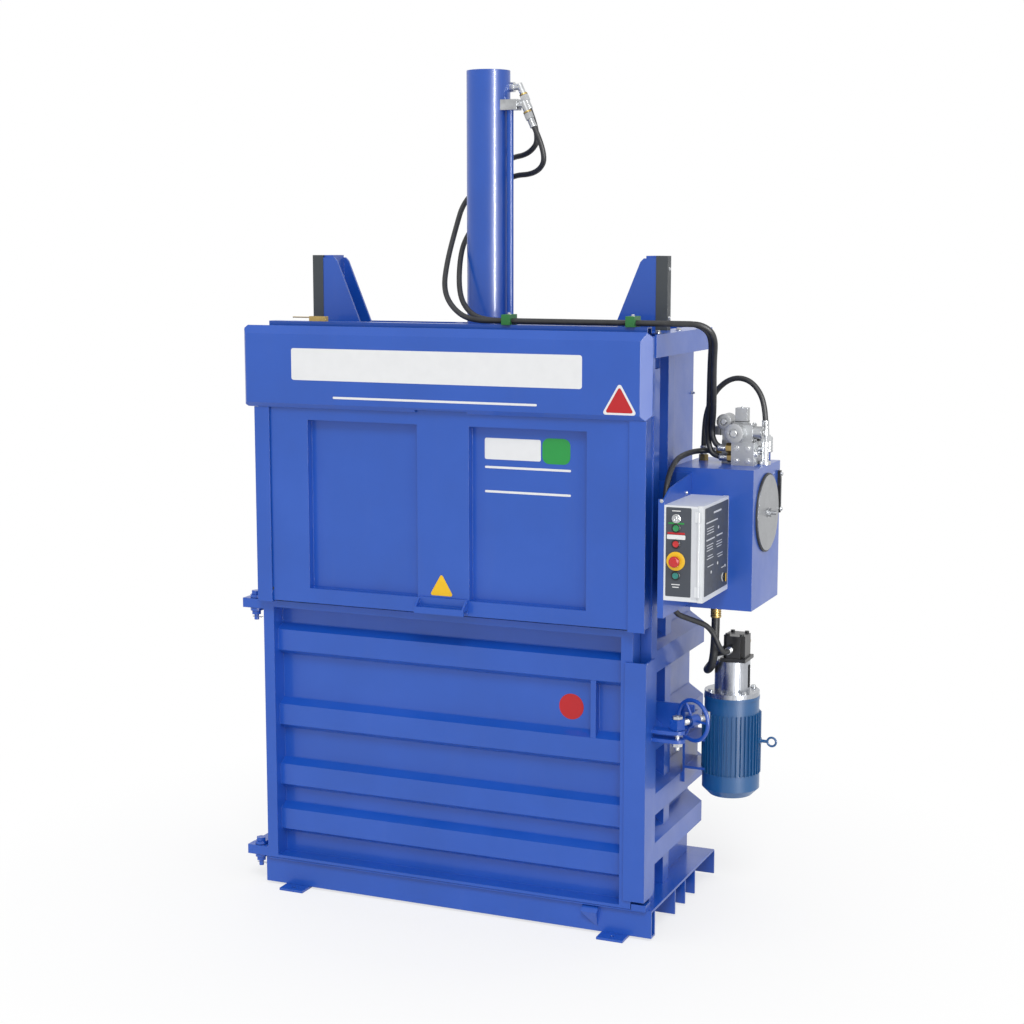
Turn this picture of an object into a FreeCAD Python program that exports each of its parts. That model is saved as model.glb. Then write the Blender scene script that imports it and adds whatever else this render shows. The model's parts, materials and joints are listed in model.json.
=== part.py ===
"""Vertical recycling baler: chamber, sliding feed gate, swing door, hydraulic press and power unit.

Frame of the part: +Z up, +X to the operator's right, -Y towards the operator.
The origin lies on the floor, in the middle of the four anchor holes.
"""
import FreeCAD, Part
import math
import os
import re

import Sketcher
from FreeCAD import Placement, Rotation, Vector

doc = FreeCAD.newDocument("recycling_baler")

# ---------------------------------------------------------------- driving dimensions, mm
SIZES = {
    # base: front sill, deck on crosswise bearers, anchor feet
    "base_w": 1736, "base_d": 844, "base_h": 112,
    "sill_t": 8, "sill_flange": 39, "deck_t": 10, "deck_round": 20,
    "bearer_t": 8, "front_bay": 257, "narrow_bay": 124,
    "foot_t": 10, "foot_w": 110, "foot_l": 100, "foot_pitch_x": 1432, "foot_pitch_y": 910,
    "foot_hole": 18, "foot_edge": 30,
    "ramp_w": 68, "ramp_d": 30, "ramp_h": 62, "ramp_tip": 6, "ramp_drop": 25, "ramp_x": 581,
    "rest_w": 60, "rest_h": 26, "rest_in": 78,
    # chamber: side walls, rear wall, ribs, front posts
    "chamber_in": 106, "chamber_d": 693, "wall_t": 6, "wall_top": 2375,
    "post_d": 64, "post_t": 5, "post_top": 2240,
    "rib_depth": 65, "rib_face": 87, "rib_foot": 175, "rib_t": 6,
    "rib_low": 311, "rib_second": 513, "rib_third": 779, "rib_high": 1092, "rear_rib_top": 1600,
    # vertical channels that guide the platen
    "track_y": -60, "track_w": 72, "track_depth": 37, "track_t": 6,
    # chamber door and its hinges
    "door_over": 18, "door_gap": 4, "door_recess": 76, "door_sheet": 6, "seal_gap": 8,
    "door_left_in": 19, "door_right_in": 81, "bar_w": 48, "bar_t": 6, "door_sill_gap": 4, "ledge_t": 12,
    "door_top": 1240, "lip_h": 28, "lip_t": 8,
    "door_rib_depth": 41, "door_rib_face": 88, "door_rib_slope": 23, "door_rib_t": 5,
    "door_rib_low": 291, "door_rib_second": 486, "door_rib_third": 746, "door_rib_high": 1067,
    "stiffener_x": 612, "stiffener_w": 22,
    "wrap_t": 8, "wrap_face": 88, "wrap_gap": 4, "wrap_flange": 108, "wrap_low": 160, "wrap_high": 1116,
    "hinge_out": 32, "hinge_back": 28, "ear_r": 25, "ear_h": 40, "ear_reach": 49, "lug_t": 12, "lug_gap": 2,
    "pin_d": 20, "pin_fit": 0.05, "nut_af": 36, "nut_h": 16, "pin_tip": 24,
    # door latch: block on the door lugs, screw, handwheel, T-head bolt, slotted keeper on the frame
    "latch_reach": 95, "latch_y": -345, "latch_z": 817, "latch_lug_w": 60, "latch_lug_t": 14,
    "latch_lug_gap": 20, "latch_play": 1, "block_w": 40, "block_rise": 49, "latch_pin_d": 20,
    "latch_open": 26, "screw_d": 24, "screw_l": 62, "wheel_at": 87, "wheel_d": 160, "rim_d": 16,
    "hub_d": 44, "hub_l": 46, "spoke_d": 10, "spokes": 3, "bolt_start": 90, "head_w": 46,
    "head_t": 16, "head_x": 28,
    "keeper_at": 136, "keeper_t": 14, "keeper_slot": 30, "keeper_play": 3, "keeper_reach": 24,
    "keeper_h": 90,
    # feed gate and its guides
    "guide_front": 485, "guide_t": 6, "guide_lip": 88, "guide_edge": 20, "guide_gap": 3,
    "guide_high": 2330, "guide_web": 8, "guide_web_in": 48,
    "gate_play": 4, "gate_t": 60, "gate_in": 56, "gate_gap": 10, "gate_top": 2085, "gate_sheet": 5,
    "gate_recess": 35, "gate_stile": 206, "gate_mid": 226, "gate_low_rail": 61, "gate_top_rail": 80,
    "handle_w": 216, "handle_reach": 48, "handle_t": 8, "handle_lip": 26, "handle_z": 24,
    "handle_slot": 24, "gusset_t": 8, "gusset_h": 34,
    # front hood, header beam and top rails
    "hood_front": 503, "hood_rear": 440, "hood_left_out": 16, "hood_right_in": 3, "hood_nose": 11,
    "hood_corner": 38, "hood_t": 5,
    "hood_low": 2054, "hood_top": 2385, "hood_low_rise": 18, "hood_low_in": 16,
    "hood_top_drop": 33, "hood_top_in": 22, "hood_end_cut": 20, "notch_w": 226, "notch_h": 10,
    "header_front": 400, "header_d": 50, "header_low": 2250, "header_top": 2400, "header_t": 5,
    "rail_in": 2, "rail_step": 5, "rail_t": 8, "rail_low": 2288, "rail_rear": 265, "rail_cut": 40,
    # cylinder, crosshead and platen
    "ram_y": -23, "barrel_d": 178, "bore_d": 150, "barrel_top": 3404, "barrel_low": 2120,
    "cap_t": 30, "gland_t": 64, "rod_d": 90, "rod_fit": 0.05, "piston_t": 80, "piston_play": 0.3,
    "piston_gap": 10, "flange_d": 290, "flange_t": 28, "flange_bolt": 20,
    "flange_bolts": 6, "flange_pcd": 244,
    "beam_w": 80, "beam_low": 2200, "beam_top": 2350, "beam_t": 8, "beam_near": 90, "saddle_w": 420,
    "saddle_t": 24, "platen_low": 2085, "platen_side": 10, "platen_h": 100, "platen_t": 12,
    "skirt_t": 10, "well_d": 280, "well_t": 8, "web_t": 10, "platen_front": 15,
    # platen towers and slide pads
    "tower_top": 2665, "tower_plate": 10, "tower_w": 110, "tower_gap": 20, "tower_reach": 172,
    "tower_top_w": 66, "tower_round": 14, "tower_waist": 2385, "core_w": 45, "core_t": 6,
    "pad_play": 8, "pad_d": 40,
    # hydraulics
    "pipe_d": 28, "pipe_x": 107, "pipe_back": -27, "pipe_low": 2150, "port_block_w": 66,
    "port_block_d": 50, "port_block_h": 42, "port_block_drop": 161, "knee_out": 61,
    "lean": 25, "elbow_x": 130, "elbow_drop": 66, "elbow_d": 26, "elbow_leg": 64, "elbow_nut_l": 26,
    "elbow_af": 32, "collar_out": 16, "elbow_collar_d": 40,
    "hose_d": 22, "hose_bore": 12, "hose_lift": 3, "hose_front": 385, "hose_back": 361,
    "fitting_af": 34, "fitting_l": 24, "clamp_w": 36, "clamp_h": 40, "clamp_d": 74,
    "clamp_right": 752, "clamp_left": 241,
    "suction_at": 122, "suction_y": 40, "suction_d": 34, "suction_bore": 24, "suction_af": 38,
    "return_at": 45, "return_y": 90, "return_rise": 343,
    "tank_over": 18, "tank_w": 328, "tank_front": -173, "tank_rear": 214, "tank_low": 1297,
    "tank_top": 1849, "tank_t": 5, "cover_d": 300, "cover_t": 4, "gasket_d": 312, "gasket_t": 6,
    "hatch_d": 270, "cover_y": 18, "cover_z": 1662, "cover_bolt": 16, "cover_bolt_l": 36,
    "gauge_w": 18, "gauge_h": 170, "gauge_t": 12, "gauge_y": 190, "gauge_z": 1640,
    "block_at": 140, "manifold_w": 148, "block_front": -36, "block_rear": 74, "block_h": 92,
    "port_step_x": 56, "port_step_y": 60, "extend_in": 20, "extend_down": 26, "retract_in": 40,
    "retract_down": 66, "supply_in": 82, "supply_down": 46, "valve_h": 46, "coil_d": 50,
    "riser_at": 312, "riser_y": 42, "riser_d": 30, "riser_h": 140,
    "breather_d": 34, "breather_h": 60, "breather_at": 290, "breather_y": 168,
    # motor and pump
    "motor_at": 164, "motor_y": 147, "motor_low": 465, "motor_top": 882, "motor_d": 224,
    "fin_h": 10, "fin_t": 3, "fins": 40, "fan_cover_h": 78, "fan_cover_t": 3, "fan_cover_round": 30,
    "fin_low": 560, "fin_high": 812, "end_ring_h": 14, "end_ring_d": 228,
    "stator_d": 150, "shell_floor": 14, "rotor_d": 120, "shaft_d": 28, "bearing_play": 0.05,
    "fan_d": 180, "fan_t": 4, "blade_h": 22, "blade_t": 4, "blades": 6,
    "inlets": 8, "inlet_d": 26, "coupling_d": 62,
    "bell_d": 145, "bell_rim": 40, "bell_rim_h": 19, "bell_t": 8, "bell_h": 147,
    "bell_slot_w": 34, "bell_slot_h": 96,
    "pump_w": 90, "pump_d": 112, "pump_h": 92, "pump_plate_h": 14, "pump_round": 16, "pump_shift": 18,
    "port_up": 40, "port_out": 22, "port_left": 8, "port_af": 30,
    "eye_r": 18, "eye_d": 9, "eye_z": 697, "eye_out": 59, "eye_shank_d": 13, "eye_boss_d": 30,
    "arm_t": 10, "bracket_w": 175,
    "bracket_low": 560, "bracket_high": 692, "term_w": 90, "term_h": 100, "term_d": 52,
    # operator's control box on its arm
    "panel_arm_at": 79, "panel_arm_t": 6, "panel_front": 504, "arm_low": 1312, "arm_front_top": 1800,
    "arm_slope": 70, "arm_flange": 24, "case_w": 132, "case_low": 1383, "case_top": 1745,
    "case_rear": -173, "case_t": 3, "lid_t": 20, "lid_gap": 0.5, "lid_hinge_r": 5, "lid_pin_d": 6,
    "knuckle_l": 40, "knuckle_gap": 0.5,
    "button_d": 24, "button_l": 9, "bezel_d": 32, "stop_d": 42, "stop_l": 22, "collar_d": 58,
    "button_play": 0.3, "key_z": 1696, "start_z": 1660, "halt_z": 1600, "emergency_z": 1535,
    "second_z": 1480, "button_line": 48, "lock_d": 22, "lock_z": 1440, "lock_y": -245,
    # limit switch on the header
    "switch_left": 640, "switch_right": 565, "switch_w": 26, "switch_h": 20, "feeler_end": 722,
    "feeler_d": 5, "feeler_up": 15,
}

sheet = doc.addObject("Spreadsheet::Sheet", "sizes")
for row, (alias, value) in enumerate(SIZES.items(), start=1):
    sheet.set(f"A{row}", alias)
    sheet.set(f"B{row}", str(value))
    sheet.setAlias(f"B{row}", alias)

# ---------------------------------------------------------------- lines and levels worked out from them
PLACES = {
    "half_w": "base_w / 2 - chamber_in",
    "wall_out": "half_w + wall_t",
    "deck_top": "foot_t + base_h",
    "front_y": "-base_d / 2",
    "rear_y": "base_d / 2",
    "door_face": "front_y - door_over",
    "panel_y": "door_face + door_recess",
    "chamber_front": "panel_y + door_sheet",
    "post_front": "chamber_front + seal_gap",
    "post_rear": "post_front + post_d",
    "rest_x": "base_w / 2 - rest_in",
    "rib_out": "wall_out + rib_depth",
    "rear_inner": "chamber_front + chamber_d",
    "rear_out": "rear_inner + wall_t",
    "track_front": "track_y - track_w / 2",
    "track_rear": "track_y + track_w / 2",
    "track_out": "wall_out + track_depth",
    "door_rear": "post_front - door_gap",
    "door_low": "deck_top + door_sill_gap",
    "door_bar_low": "door_low + ledge_t",
    "door_bar_high": "door_top - ledge_t",
    "door_rib_y": "panel_y - door_rib_depth",
    "panel_left": "-door_left + bar_w",
    "panel_right": "door_right - bar_w",
    "hinge_x": "base_w / 2 + hinge_out",
    "door_left": "base_w / 2 - door_left_in",
    "door_right": "base_w / 2 - door_right_in",
    "guide_in": "base_w / 2 - guide_lip",
    "guide_out": "base_w / 2 - guide_edge",
    "guide_web_at": "base_w / 2 - guide_web_in",
    "gate_half": "base_w / 2 - gate_in",
    "tower_out": "half_w - tower_gap",
    "tower_in": "tower_out - tower_reach",
    "hood_left": "base_w / 2 + hood_left_out",
    "hood_right": "base_w / 2 - hood_right_in",
    "tank_in": "base_w / 2 - tank_over",
    "tank_out": "tank_in + tank_w",
    "block_x": "tank_in + block_at",
    "block_out": "block_x + manifold_w",
    "riser_x": "tank_in + riser_at",
    "breather_x": "tank_in + breather_at",
    "motor_x": "tank_in + motor_at",
    "panel_arm_x": "tank_in + panel_arm_at",
    "panel_x": "panel_arm_x + button_line",
    "suction_x": "tank_in + suction_at",
    "return_x": "tank_in + return_at",
    "hinge_y": "door_face + hinge_back",
    "wrap_in": "rib_out + wrap_gap",
    "wrap_out": "wrap_in + wrap_t",
    "latch_x": "wrap_out + latch_reach",
    "latch_axis_z": "latch_z + block_rise",
    "gate_front": "-guide_front + guide_t + gate_play",
    "gate_rear": "gate_front + gate_t",
    "gate_low": "door_top + gate_gap",
    "guide_low": "door_top + guide_gap",
    "beam_front_in": "ram_y - beam_near - 20",
    "beam_rear_in": "ram_y + beam_near",
    "platen_top": "platen_low + platen_h",
    "platen_floor": "platen_low + platen_t",
    "tower_front": "ram_y - tower_w / 2",
    "tower_rear": "ram_y + tower_w / 2",
    "piston_top": "barrel_top - cap_t - piston_gap",
    "port_block_z": "barrel_top - port_block_drop",
    "elbow_z": "barrel_top - elbow_drop",
    "knee_x": "pipe_x + knee_out",
    "hose_z": "header_top + hose_d / 2 + hose_lift",
    "rail_left": "hood_left - rail_in",
    "rail_right": "hood_right + rail_step",
    "pump_x": "motor_x + pump_shift",
    "panel_face": "-panel_front",
    "case_out": "panel_arm_x + case_w",
    "lid_out": "case_out + lid_gap + lid_t",
    "bell_top": "motor_top + bell_h",
    "pump_top": "bell_top + pump_plate_h + pump_h",
    "block_top": "tank_top + block_h",
}
places = doc.addObject("App::VarSet", "places")
NAMES = re.compile(r"\b(" + "|".join(sorted([*SIZES, *PLACES], key=len, reverse=True)) + r")\b")


def link(text):
    """Point each dimension's name in a formula to the sheet or to the list of places."""
    return NAMES.sub(lambda m: ("sizes." if m.group(0) in SIZES else "places.") + m.group(0), str(text))


def bind(thing, prop, text):
    thing.setExpression(prop, link(text))


for name, formula in PLACES.items():
    places.addProperty("App::PropertyFloat", name, "Places")
    bind(places, name, formula)
doc.recompute()


def size(name):
    """Value of a dimension or place, for the few shapes that are worked out point by point."""
    return float(getattr(sheet if name in SIZES else places, name))


# ---------------------------------------------------------------- building blocks
TURNS = {
    "z": Rotation(),
    "x": Rotation(Vector(0, 1, 0), 90),
    "y": Rotation(Vector(1, 0, 0), -90),
    "xy": Rotation(),
    "xz": Rotation(Vector(1, 0, 0), 90),
    "yz": Rotation(Vector(1, 1, 1), 120),
}


def place(thing, x, y, z, turn=None):
    thing.Placement = Placement(Vector(), turn or Rotation())
    for axis, text in zip("xyz", (x, y, z)):
        bind(thing, f".Placement.Base.{axis}", text)
    return thing


def box(name, x, y, z):
    """Block between two values on each axis."""
    block = doc.addObject("Part::Box", name)
    for prop, (low, high) in zip(("Length", "Width", "Height"), (x, y, z)):
        bind(block, prop, f"({high}) - ({low})")
    return place(block, x[0], y[0], z[0])


def along(axis, centre, start):
    """Base point of a round piece on one axis, from its two centre values and its start."""
    first, second = centre
    return {"x": (start, first, second), "y": (first, start, second), "z": (first, second, start)}[axis]


def rod(name, axis, centre, span, diameter):
    piece = doc.addObject("Part::Cylinder", name)
    bind(piece, "Radius", f"({diameter}) / 2")
    bind(piece, "Height", f"({span[1]}) - ({span[0]})")
    return place(piece, *along(axis, centre, span[0]), TURNS[axis])


def hexagon(name, axis, centre, span, across):
    piece = doc.addObject("Part::Prism", name)
    piece.Polygon = 6
    bind(piece, "Circumradius", f"({across}) / sqrt(3)")
    bind(piece, "Height", f"({span[1]}) - ({span[0]})")
    return place(piece, *along(axis, centre, span[0]), TURNS[axis])


def ring(name, axis, centre, at, middle_d, wire_d):
    piece = doc.addObject("Part::Torus", name)
    bind(piece, "Radius1", f"({middle_d}) / 2")
    bind(piece, "Radius2", f"({wire_d}) / 2")
    return place(piece, *along(axis, centre, at), TURNS[axis])


def leaning(kind, name, corner, span, across):
    """Round or six-sided piece on the line that leaves a corner downwards and leans outwards."""
    x, y, z = corner
    piece = kind(name, "z", ("0", "0"), span, across)
    turn = Rotation(Vector(0, 1, 0), 180 - size("lean"))
    return place(piece, f"{x} + ({span[0]}) * sin(lean * 1 deg)", y, f"{z} - ({span[0]}) * cos(lean * 1 deg)",
                 turn)


def fuse(name, *parts):
    joined = doc.addObject("Part::MultiFuse", name)
    joined.Shapes = list(parts)
    joined.Refine = True
    return joined


def cut(name, base, *tools):
    tool = tools[0] if len(tools) == 1 else fuse(name + "_tools", *tools)
    piece = doc.addObject("Part::Cut", name)
    piece.Base = base
    piece.Tool = tool
    return piece


def group(name, *solids):
    """Like solids that share one node."""
    several = doc.addObject("Part::Compound", name)
    several.Links = list(solids)
    return several


def origin_plane(body, role):
    return next(item for item in body.Origin.OriginFeatures if item.Role == role)


def outline(body, name, points):
    """Closed sketch through points whose two coordinates are formulas."""
    sketch = body.newObject("Sketcher::SketchObject", name)
    sketch.AttachmentSupport = [(origin_plane(body, "XY_Plane"), "")]
    sketch.MapMode = "FlatFace"
    count = len(points)
    corners = [Vector(100 * math.cos(2 * math.pi * i / count), 100 * math.sin(2 * math.pi * i / count), 0)
               for i in range(count)]
    for i in range(count):
        sketch.addGeometry(Part.LineSegment(corners[i], corners[(i + 1) % count]), False)
    for i in range(count):
        sketch.addConstraint(Sketcher.Constraint("Coincident", i, 2, (i + 1) % count, 1))
    for i, (across, up) in enumerate(points):
        for kind, text, now in (("DistanceX", across, corners[i].x), ("DistanceY", up, corners[i].y)):
            index = sketch.addConstraint(Sketcher.Constraint(kind, i, 1, now))
            bind(sketch, f"Constraints[{index}]", text)
    return sketch


def plate(name, plane, points, span):
    """Profile in the XY, XZ or YZ plane, padded between two values on the third axis."""
    body = doc.addObject("PartDesign::Body", name)
    sketch = outline(body, name + "_outline", points)
    pad = body.newObject("PartDesign::Pad", name + "_pad")
    pad.Profile = sketch
    bind(pad, "Length", f"({span[1]}) - ({span[0]})")
    start = {"xy": ("0", "0", span[0]), "xz": ("0", span[1], "0"), "yz": (span[0], "0", "0")}[plane]
    return place(body, *start, TURNS[plane])


def turned(name, points, x, y, z):
    """Profile of radius and height, turned about a vertical axis through x, y."""
    body = doc.addObject("PartDesign::Body", name)
    sketch = outline(body, name + "_outline", points)
    turn = body.newObject("PartDesign::Revolution", name + "_turn")
    turn.Profile = sketch
    turn.ReferenceAxis = (sketch, ["V_Axis"])
    turn.Angle = 360
    return place(body, x, y, z, TURNS["xz"])


def mirrored(side, low, high):
    """Span on X for the left (-1) or the right (+1) hand."""
    return (low, high) if side > 0 else (f"-({high})", f"-({low})")


def tube(name, points, outer, bore):
    """Hose: straight runs joined by tangent arcs as large as two neighbouring runs allow."""
    points = [Vector(*point) for point in points]
    edges, radii, start = [], [], points[0]
    for before, corner, after in zip(points, points[1:], points[2:]):
        first, second = corner - before, after - corner
        turn = first.getAngle(second)
        reach = 0.45 * min(first.Length, second.Length)
        into, out = first.normalize(), second.normalize()
        radius = reach / math.tan(turn / 2)
        entry, leave = corner - into * reach, corner + out * reach
        inward = (out - into).normalize()
        middle = corner + inward * (radius / math.cos(turn / 2) - radius)
        edges += [Part.LineSegment(start, entry).toShape(), Part.Arc(entry, middle, leave).toShape()]
        radii.append(radius)
        start = leave
    edges.append(Part.LineSegment(start, points[-1]).toShape())
    path = Part.Wire(edges)
    heading = points[1] - points[0]
    rims = [Part.Wire(Part.makeCircle(across / 2, points[0], heading)) for across in (outer, bore)]
    solids = [path.makePipeShell([rim], True, False) for rim in rims]
    hose = doc.addObject("Part::Feature", name)
    hose.Shape = solids[0].cut(solids[1])
    section = math.pi * (outer ** 2 - bore ** 2) / 4
    share = hose.Shape.Volume / (section * path.Length)
    print(f"{name}: length {path.Length:.0f} mm, volume share {share:.4f}, radii",
          " ".join(f"{radius:.0f}" for radius in radii))
    return hose


def hand(side, text):
    """The same distance to the right (1) or to the left (-1) of the middle plane."""
    return text if side > 0 else f"-({text})"


def flipped(side, points):
    return [(hand(side, x), z) for x, z in points]


def common(name, *parts):
    shared = doc.addObject("Part::MultiCommon", name)
    shared.Shapes = list(parts)
    return shared


SIDES = ((-1, "left"), (1, "right"))
FULL_W = ("-base_w / 2", "base_w / 2")

# ---------------------------------------------------------------- base
DECK_FRONT = "front_y + sill_flange"
arc_points = [(f"rear_y - deck_round + deck_round * sin({angle} deg)",
               f"deck_top - deck_round + deck_round * cos({angle} deg)") for angle in range(0, 91, 15)]
deck_sheet = plate("deck_sheet", "yz", [
    (DECK_FRONT, "deck_top"), *arc_points, ("rear_y", "foot_t"), ("rear_y - bearer_t", "foot_t"),
    ("rear_y - bearer_t", "deck_top - deck_t"), (DECK_FRONT, "deck_top - deck_t")], FULL_W)
leg_places = [DECK_FRONT, f"{DECK_FRONT} + front_bay"]
leg_places.append(leg_places[-1] + " + bearer_t + narrow_bay")
leg_places.append(leg_places[-1] + " + bearer_t + narrow_bay")
legs = [box(f"bearer_{i}", FULL_W, (start, f"{start} + bearer_t"), ("foot_t", "deck_top - deck_t"))
        for i, start in enumerate(leg_places)]
HINGE = ("-hinge_x", "hinge_y")
low_lug = ("door_low - lug_gap - lug_t", "door_low - lug_gap")
low_lug_arm = box("base_lug_arm", ("-hinge_x - ear_r", "-base_w / 2"), ("hinge_y", "post_rear"), low_lug)
low_lug_end = rod("base_lug_end", "z", HINGE, low_lug, "2 * ear_r")
low_lug_hole = rod("base_lug_hole", "z", HINGE, ("0", "door_low"), "pin_d")
floor_deck = cut("floor_deck", fuse("floor_deck_whole", deck_sheet, *legs, low_lug_arm, low_lug_end),
                 low_lug_hole)

sill_channel = plate("sill_channel", "yz", [
    ("front_y", "foot_t"), (DECK_FRONT, "foot_t"), (DECK_FRONT, "foot_t + sill_t"),
    ("front_y + sill_t", "foot_t + sill_t"), ("front_y + sill_t", "deck_top - sill_t"),
    (DECK_FRONT, "deck_top - sill_t"), (DECK_FRONT, "deck_top"), ("front_y", "deck_top")], FULL_W)
RAMP_Z = "deck_top - 4"
ramp_side = plate("ramp_side", "yz", [
    ("front_y", RAMP_Z), ("front_y - ramp_d", f"{RAMP_Z} - ramp_drop"),
    ("front_y", f"{RAMP_Z} - ramp_drop - ramp_h")], ("ramp_x", "ramp_x + ramp_w"))
ramp_face = plate("ramp_face", "xz", [
    ("ramp_x", RAMP_Z), ("ramp_x + ramp_w", RAMP_Z), ("ramp_x + ramp_w", f"{RAMP_Z} - ramp_drop"),
    ("ramp_x + ramp_w - ramp_tip", f"{RAMP_Z} - ramp_drop - ramp_h"),
    ("ramp_x + ramp_w - 2 * ramp_tip", f"{RAMP_Z} - ramp_drop - ramp_h"),
    ("ramp_x", f"{RAMP_Z} - ramp_drop")], ("front_y - 2 * ramp_d", "front_y"))
rest_block = box("rest_block", ("rest_x", "rest_x + rest_w"), ("door_face", DECK_FRONT),
                 ("deck_top", "deck_top + rest_h"))
front_sill = fuse("front_sill", sill_channel, common("ramp", ramp_side, ramp_face), rest_block)

feet = []
for side, word in SIDES:
    for end, row in ((-1, "front"), (1, "rear")):
        name = f"{word}_{row}_foot"
        middle = hand(side, "foot_pitch_x / 2")
        hole_y = hand(end, "foot_pitch_y / 2")
        reach = mirrored(end, "foot_pitch_y / 2 + foot_edge - foot_l", "foot_pitch_y / 2 + foot_edge")
        pad = box(name + "_plate", (f"{middle} - foot_w / 2", f"{middle} + foot_w / 2"), reach, ("0", "foot_t"))
        feet.append(cut(name, pad, rod(name + "_hole", "z", (middle, hole_y), ("-1", "foot_t + 1"), "foot_hole")))
foot_plates = group("foot_plates", *feet)

# ---------------------------------------------------------------- chamber walls
RIB_LEVELS = ("rib_low", "rib_second", "rib_third", "rib_high")


def hat(level, near, far, depth_t=""):
    """Rib section: outer line, or the hollow inside it when a sheet thickness is given."""
    foot = f"rib_foot / 2 - 1.2 * {depth_t}" if depth_t else "rib_foot / 2"
    face = f"rib_face / 2 - 0.5 * {depth_t}" if depth_t else "rib_face / 2"
    outer = f"{far} - {depth_t}" if depth_t else far
    return [(near, f"{level} - {foot}"), (outer, f"{level} - {face}"), (outer, f"{level} + {face}"),
            (near, f"{level} + {foot}")]


walls = {}
for side, word in SIDES:
    skin = [("half_w", "post_front"), ("wall_out", "post_front"), ("wall_out", "track_front"),
            ("track_out", "track_front"), ("track_out", "track_rear"), ("wall_out", "track_rear"),
            ("wall_out", "rear_inner"), ("half_w", "rear_inner"), ("half_w", "track_rear - track_t"),
            ("track_out - track_t", "track_rear - track_t"), ("track_out - track_t", "track_front + track_t"),
            ("half_w", "track_front + track_t")]
    sheet_metal = plate(f"{word}_skin", "xy", flipped(side, skin), ("deck_top", "wall_top"))
    ribs = []
    for level in RIB_LEVELS:
        outer = plate(f"{word}_{level}", "xz", flipped(side, hat(level, "wall_out", "rib_out")),
                      ("post_rear", "rear_inner"))
        inner = plate(f"{word}_{level}_hollow", "xz", flipped(side, hat(level, "wall_out", "rib_out", "rib_t")),
                      ("post_rear - 1", "rear_inner - rib_t"))
        ribs.append(cut(f"{word}_{level}_hat", outer, inner))
    run = box(f"{word}_track_run", mirrored(side, "half_w - 1", "track_out - track_t"),
              ("track_front + track_t", "track_rear - track_t"), ("0", "wall_top + 1"))
    walls[word] = cut(f"{word}_side_wall", fuse(f"{word}_wall_whole", sheet_metal, *ribs), run)

rear_parts = [box("rear_skin", ("-wall_out", "wall_out"), ("rear_inner", "rear_out"), ("deck_top", "wall_top"))]
for level in (*RIB_LEVELS, "rear_rib_top"):
    rear_hat = [(y, z) for y, z in hat(level, "rear_out", "rear_out + rib_depth")]
    rear_hollow = [(y, z) for y, z in hat(level, "rear_out", "rear_out + rib_depth", "rib_t")]
    outer = plate(f"rear_{level}", "yz", rear_hat, ("-wall_out", "wall_out"))
    inner = plate(f"rear_{level}_hollow", "yz", rear_hollow, ("-wall_out - 1", "wall_out + 1"))
    rear_parts.append(cut(f"rear_{level}_hat", outer, inner))
rear_wall = fuse("rear_wall", *rear_parts)

# ---------------------------------------------------------------- front posts with gate guides and hinge lugs
posts = {}
for side, word in SIDES:
    tube_x = mirrored(side, "wall_out", "rib_out")
    bore_x = mirrored(side, "wall_out + post_t", "rib_out - post_t")
    solid = box(f"{word}_post_outer", tube_x, ("post_front", "post_rear"), ("deck_top", "post_top"))
    bore = box(f"{word}_post_bore", bore_x, ("post_front + post_t", "post_rear - post_t"),
               ("deck_top - 1", "post_top + 1"))
    bar_span = ("guide_low", "guide_high")
    bar_y = ("-guide_front", "-guide_front + guide_t")
    front_bar = box(f"{word}_guide_front", mirrored(side, "guide_in", "guide_out"), bar_y,
                    ("guide_low", "hood_low - 1"))
    upper_bar = box(f"{word}_guide_upper", mirrored(side, "guide_in", "guide_web_at + guide_web"), bar_y, bar_span)
    web = box(f"{word}_guide_web", mirrored(side, "guide_web_at", "guide_web_at + guide_web"),
              ("-guide_front + guide_t", "post_front"), bar_span)
    rear_bar = box(f"{word}_guide_rear", mirrored(side, "guide_in", "guide_web_at"),
                   ("gate_rear + gate_play", "gate_rear + gate_play + guide_t"), bar_span)
    stop = box(f"{word}_gate_stop", mirrored(side, "guide_in", "guide_web_at"),
               ("-guide_front", "gate_rear + gate_play"), ("guide_low", "gate_low"))
    pieces = [cut(f"{word}_post_tube", solid, bore), front_bar, upper_bar, web, rear_bar, stop]
    if side < 0:
        spans = (("door_top + lug_gap", "door_top + lug_gap + lug_t"),
                 ("door_top - ear_h - lug_gap - lug_t", "door_top - ear_h - lug_gap"),
                 ("door_low + ear_h + lug_gap", "door_low + ear_h + lug_gap + lug_t"))
        for i, span in enumerate(spans):
            pieces.append(box(f"post_lug_foot_{i}", ("-hinge_x - ear_r", "-rib_out"),
                              ("post_front", "post_rear"), span))
            pieces.append(box(f"post_lug_arm_{i}", ("-hinge_x - ear_r", "-hinge_x + ear_r"),
                              ("hinge_y", "post_front"), span))
            pieces.append(rod(f"post_lug_end_{i}", "z", HINGE, span, "2 * ear_r"))
        whole = fuse("left_post_whole", *pieces)
        posts[word] = cut("left_front_post", whole,
                          rod("post_lug_holes", "z", HINGE, ("door_low", "door_top + 4 * lug_t"), "pin_d"))
    else:
        posts[word] = fuse("right_front_post", *pieces)

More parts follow.
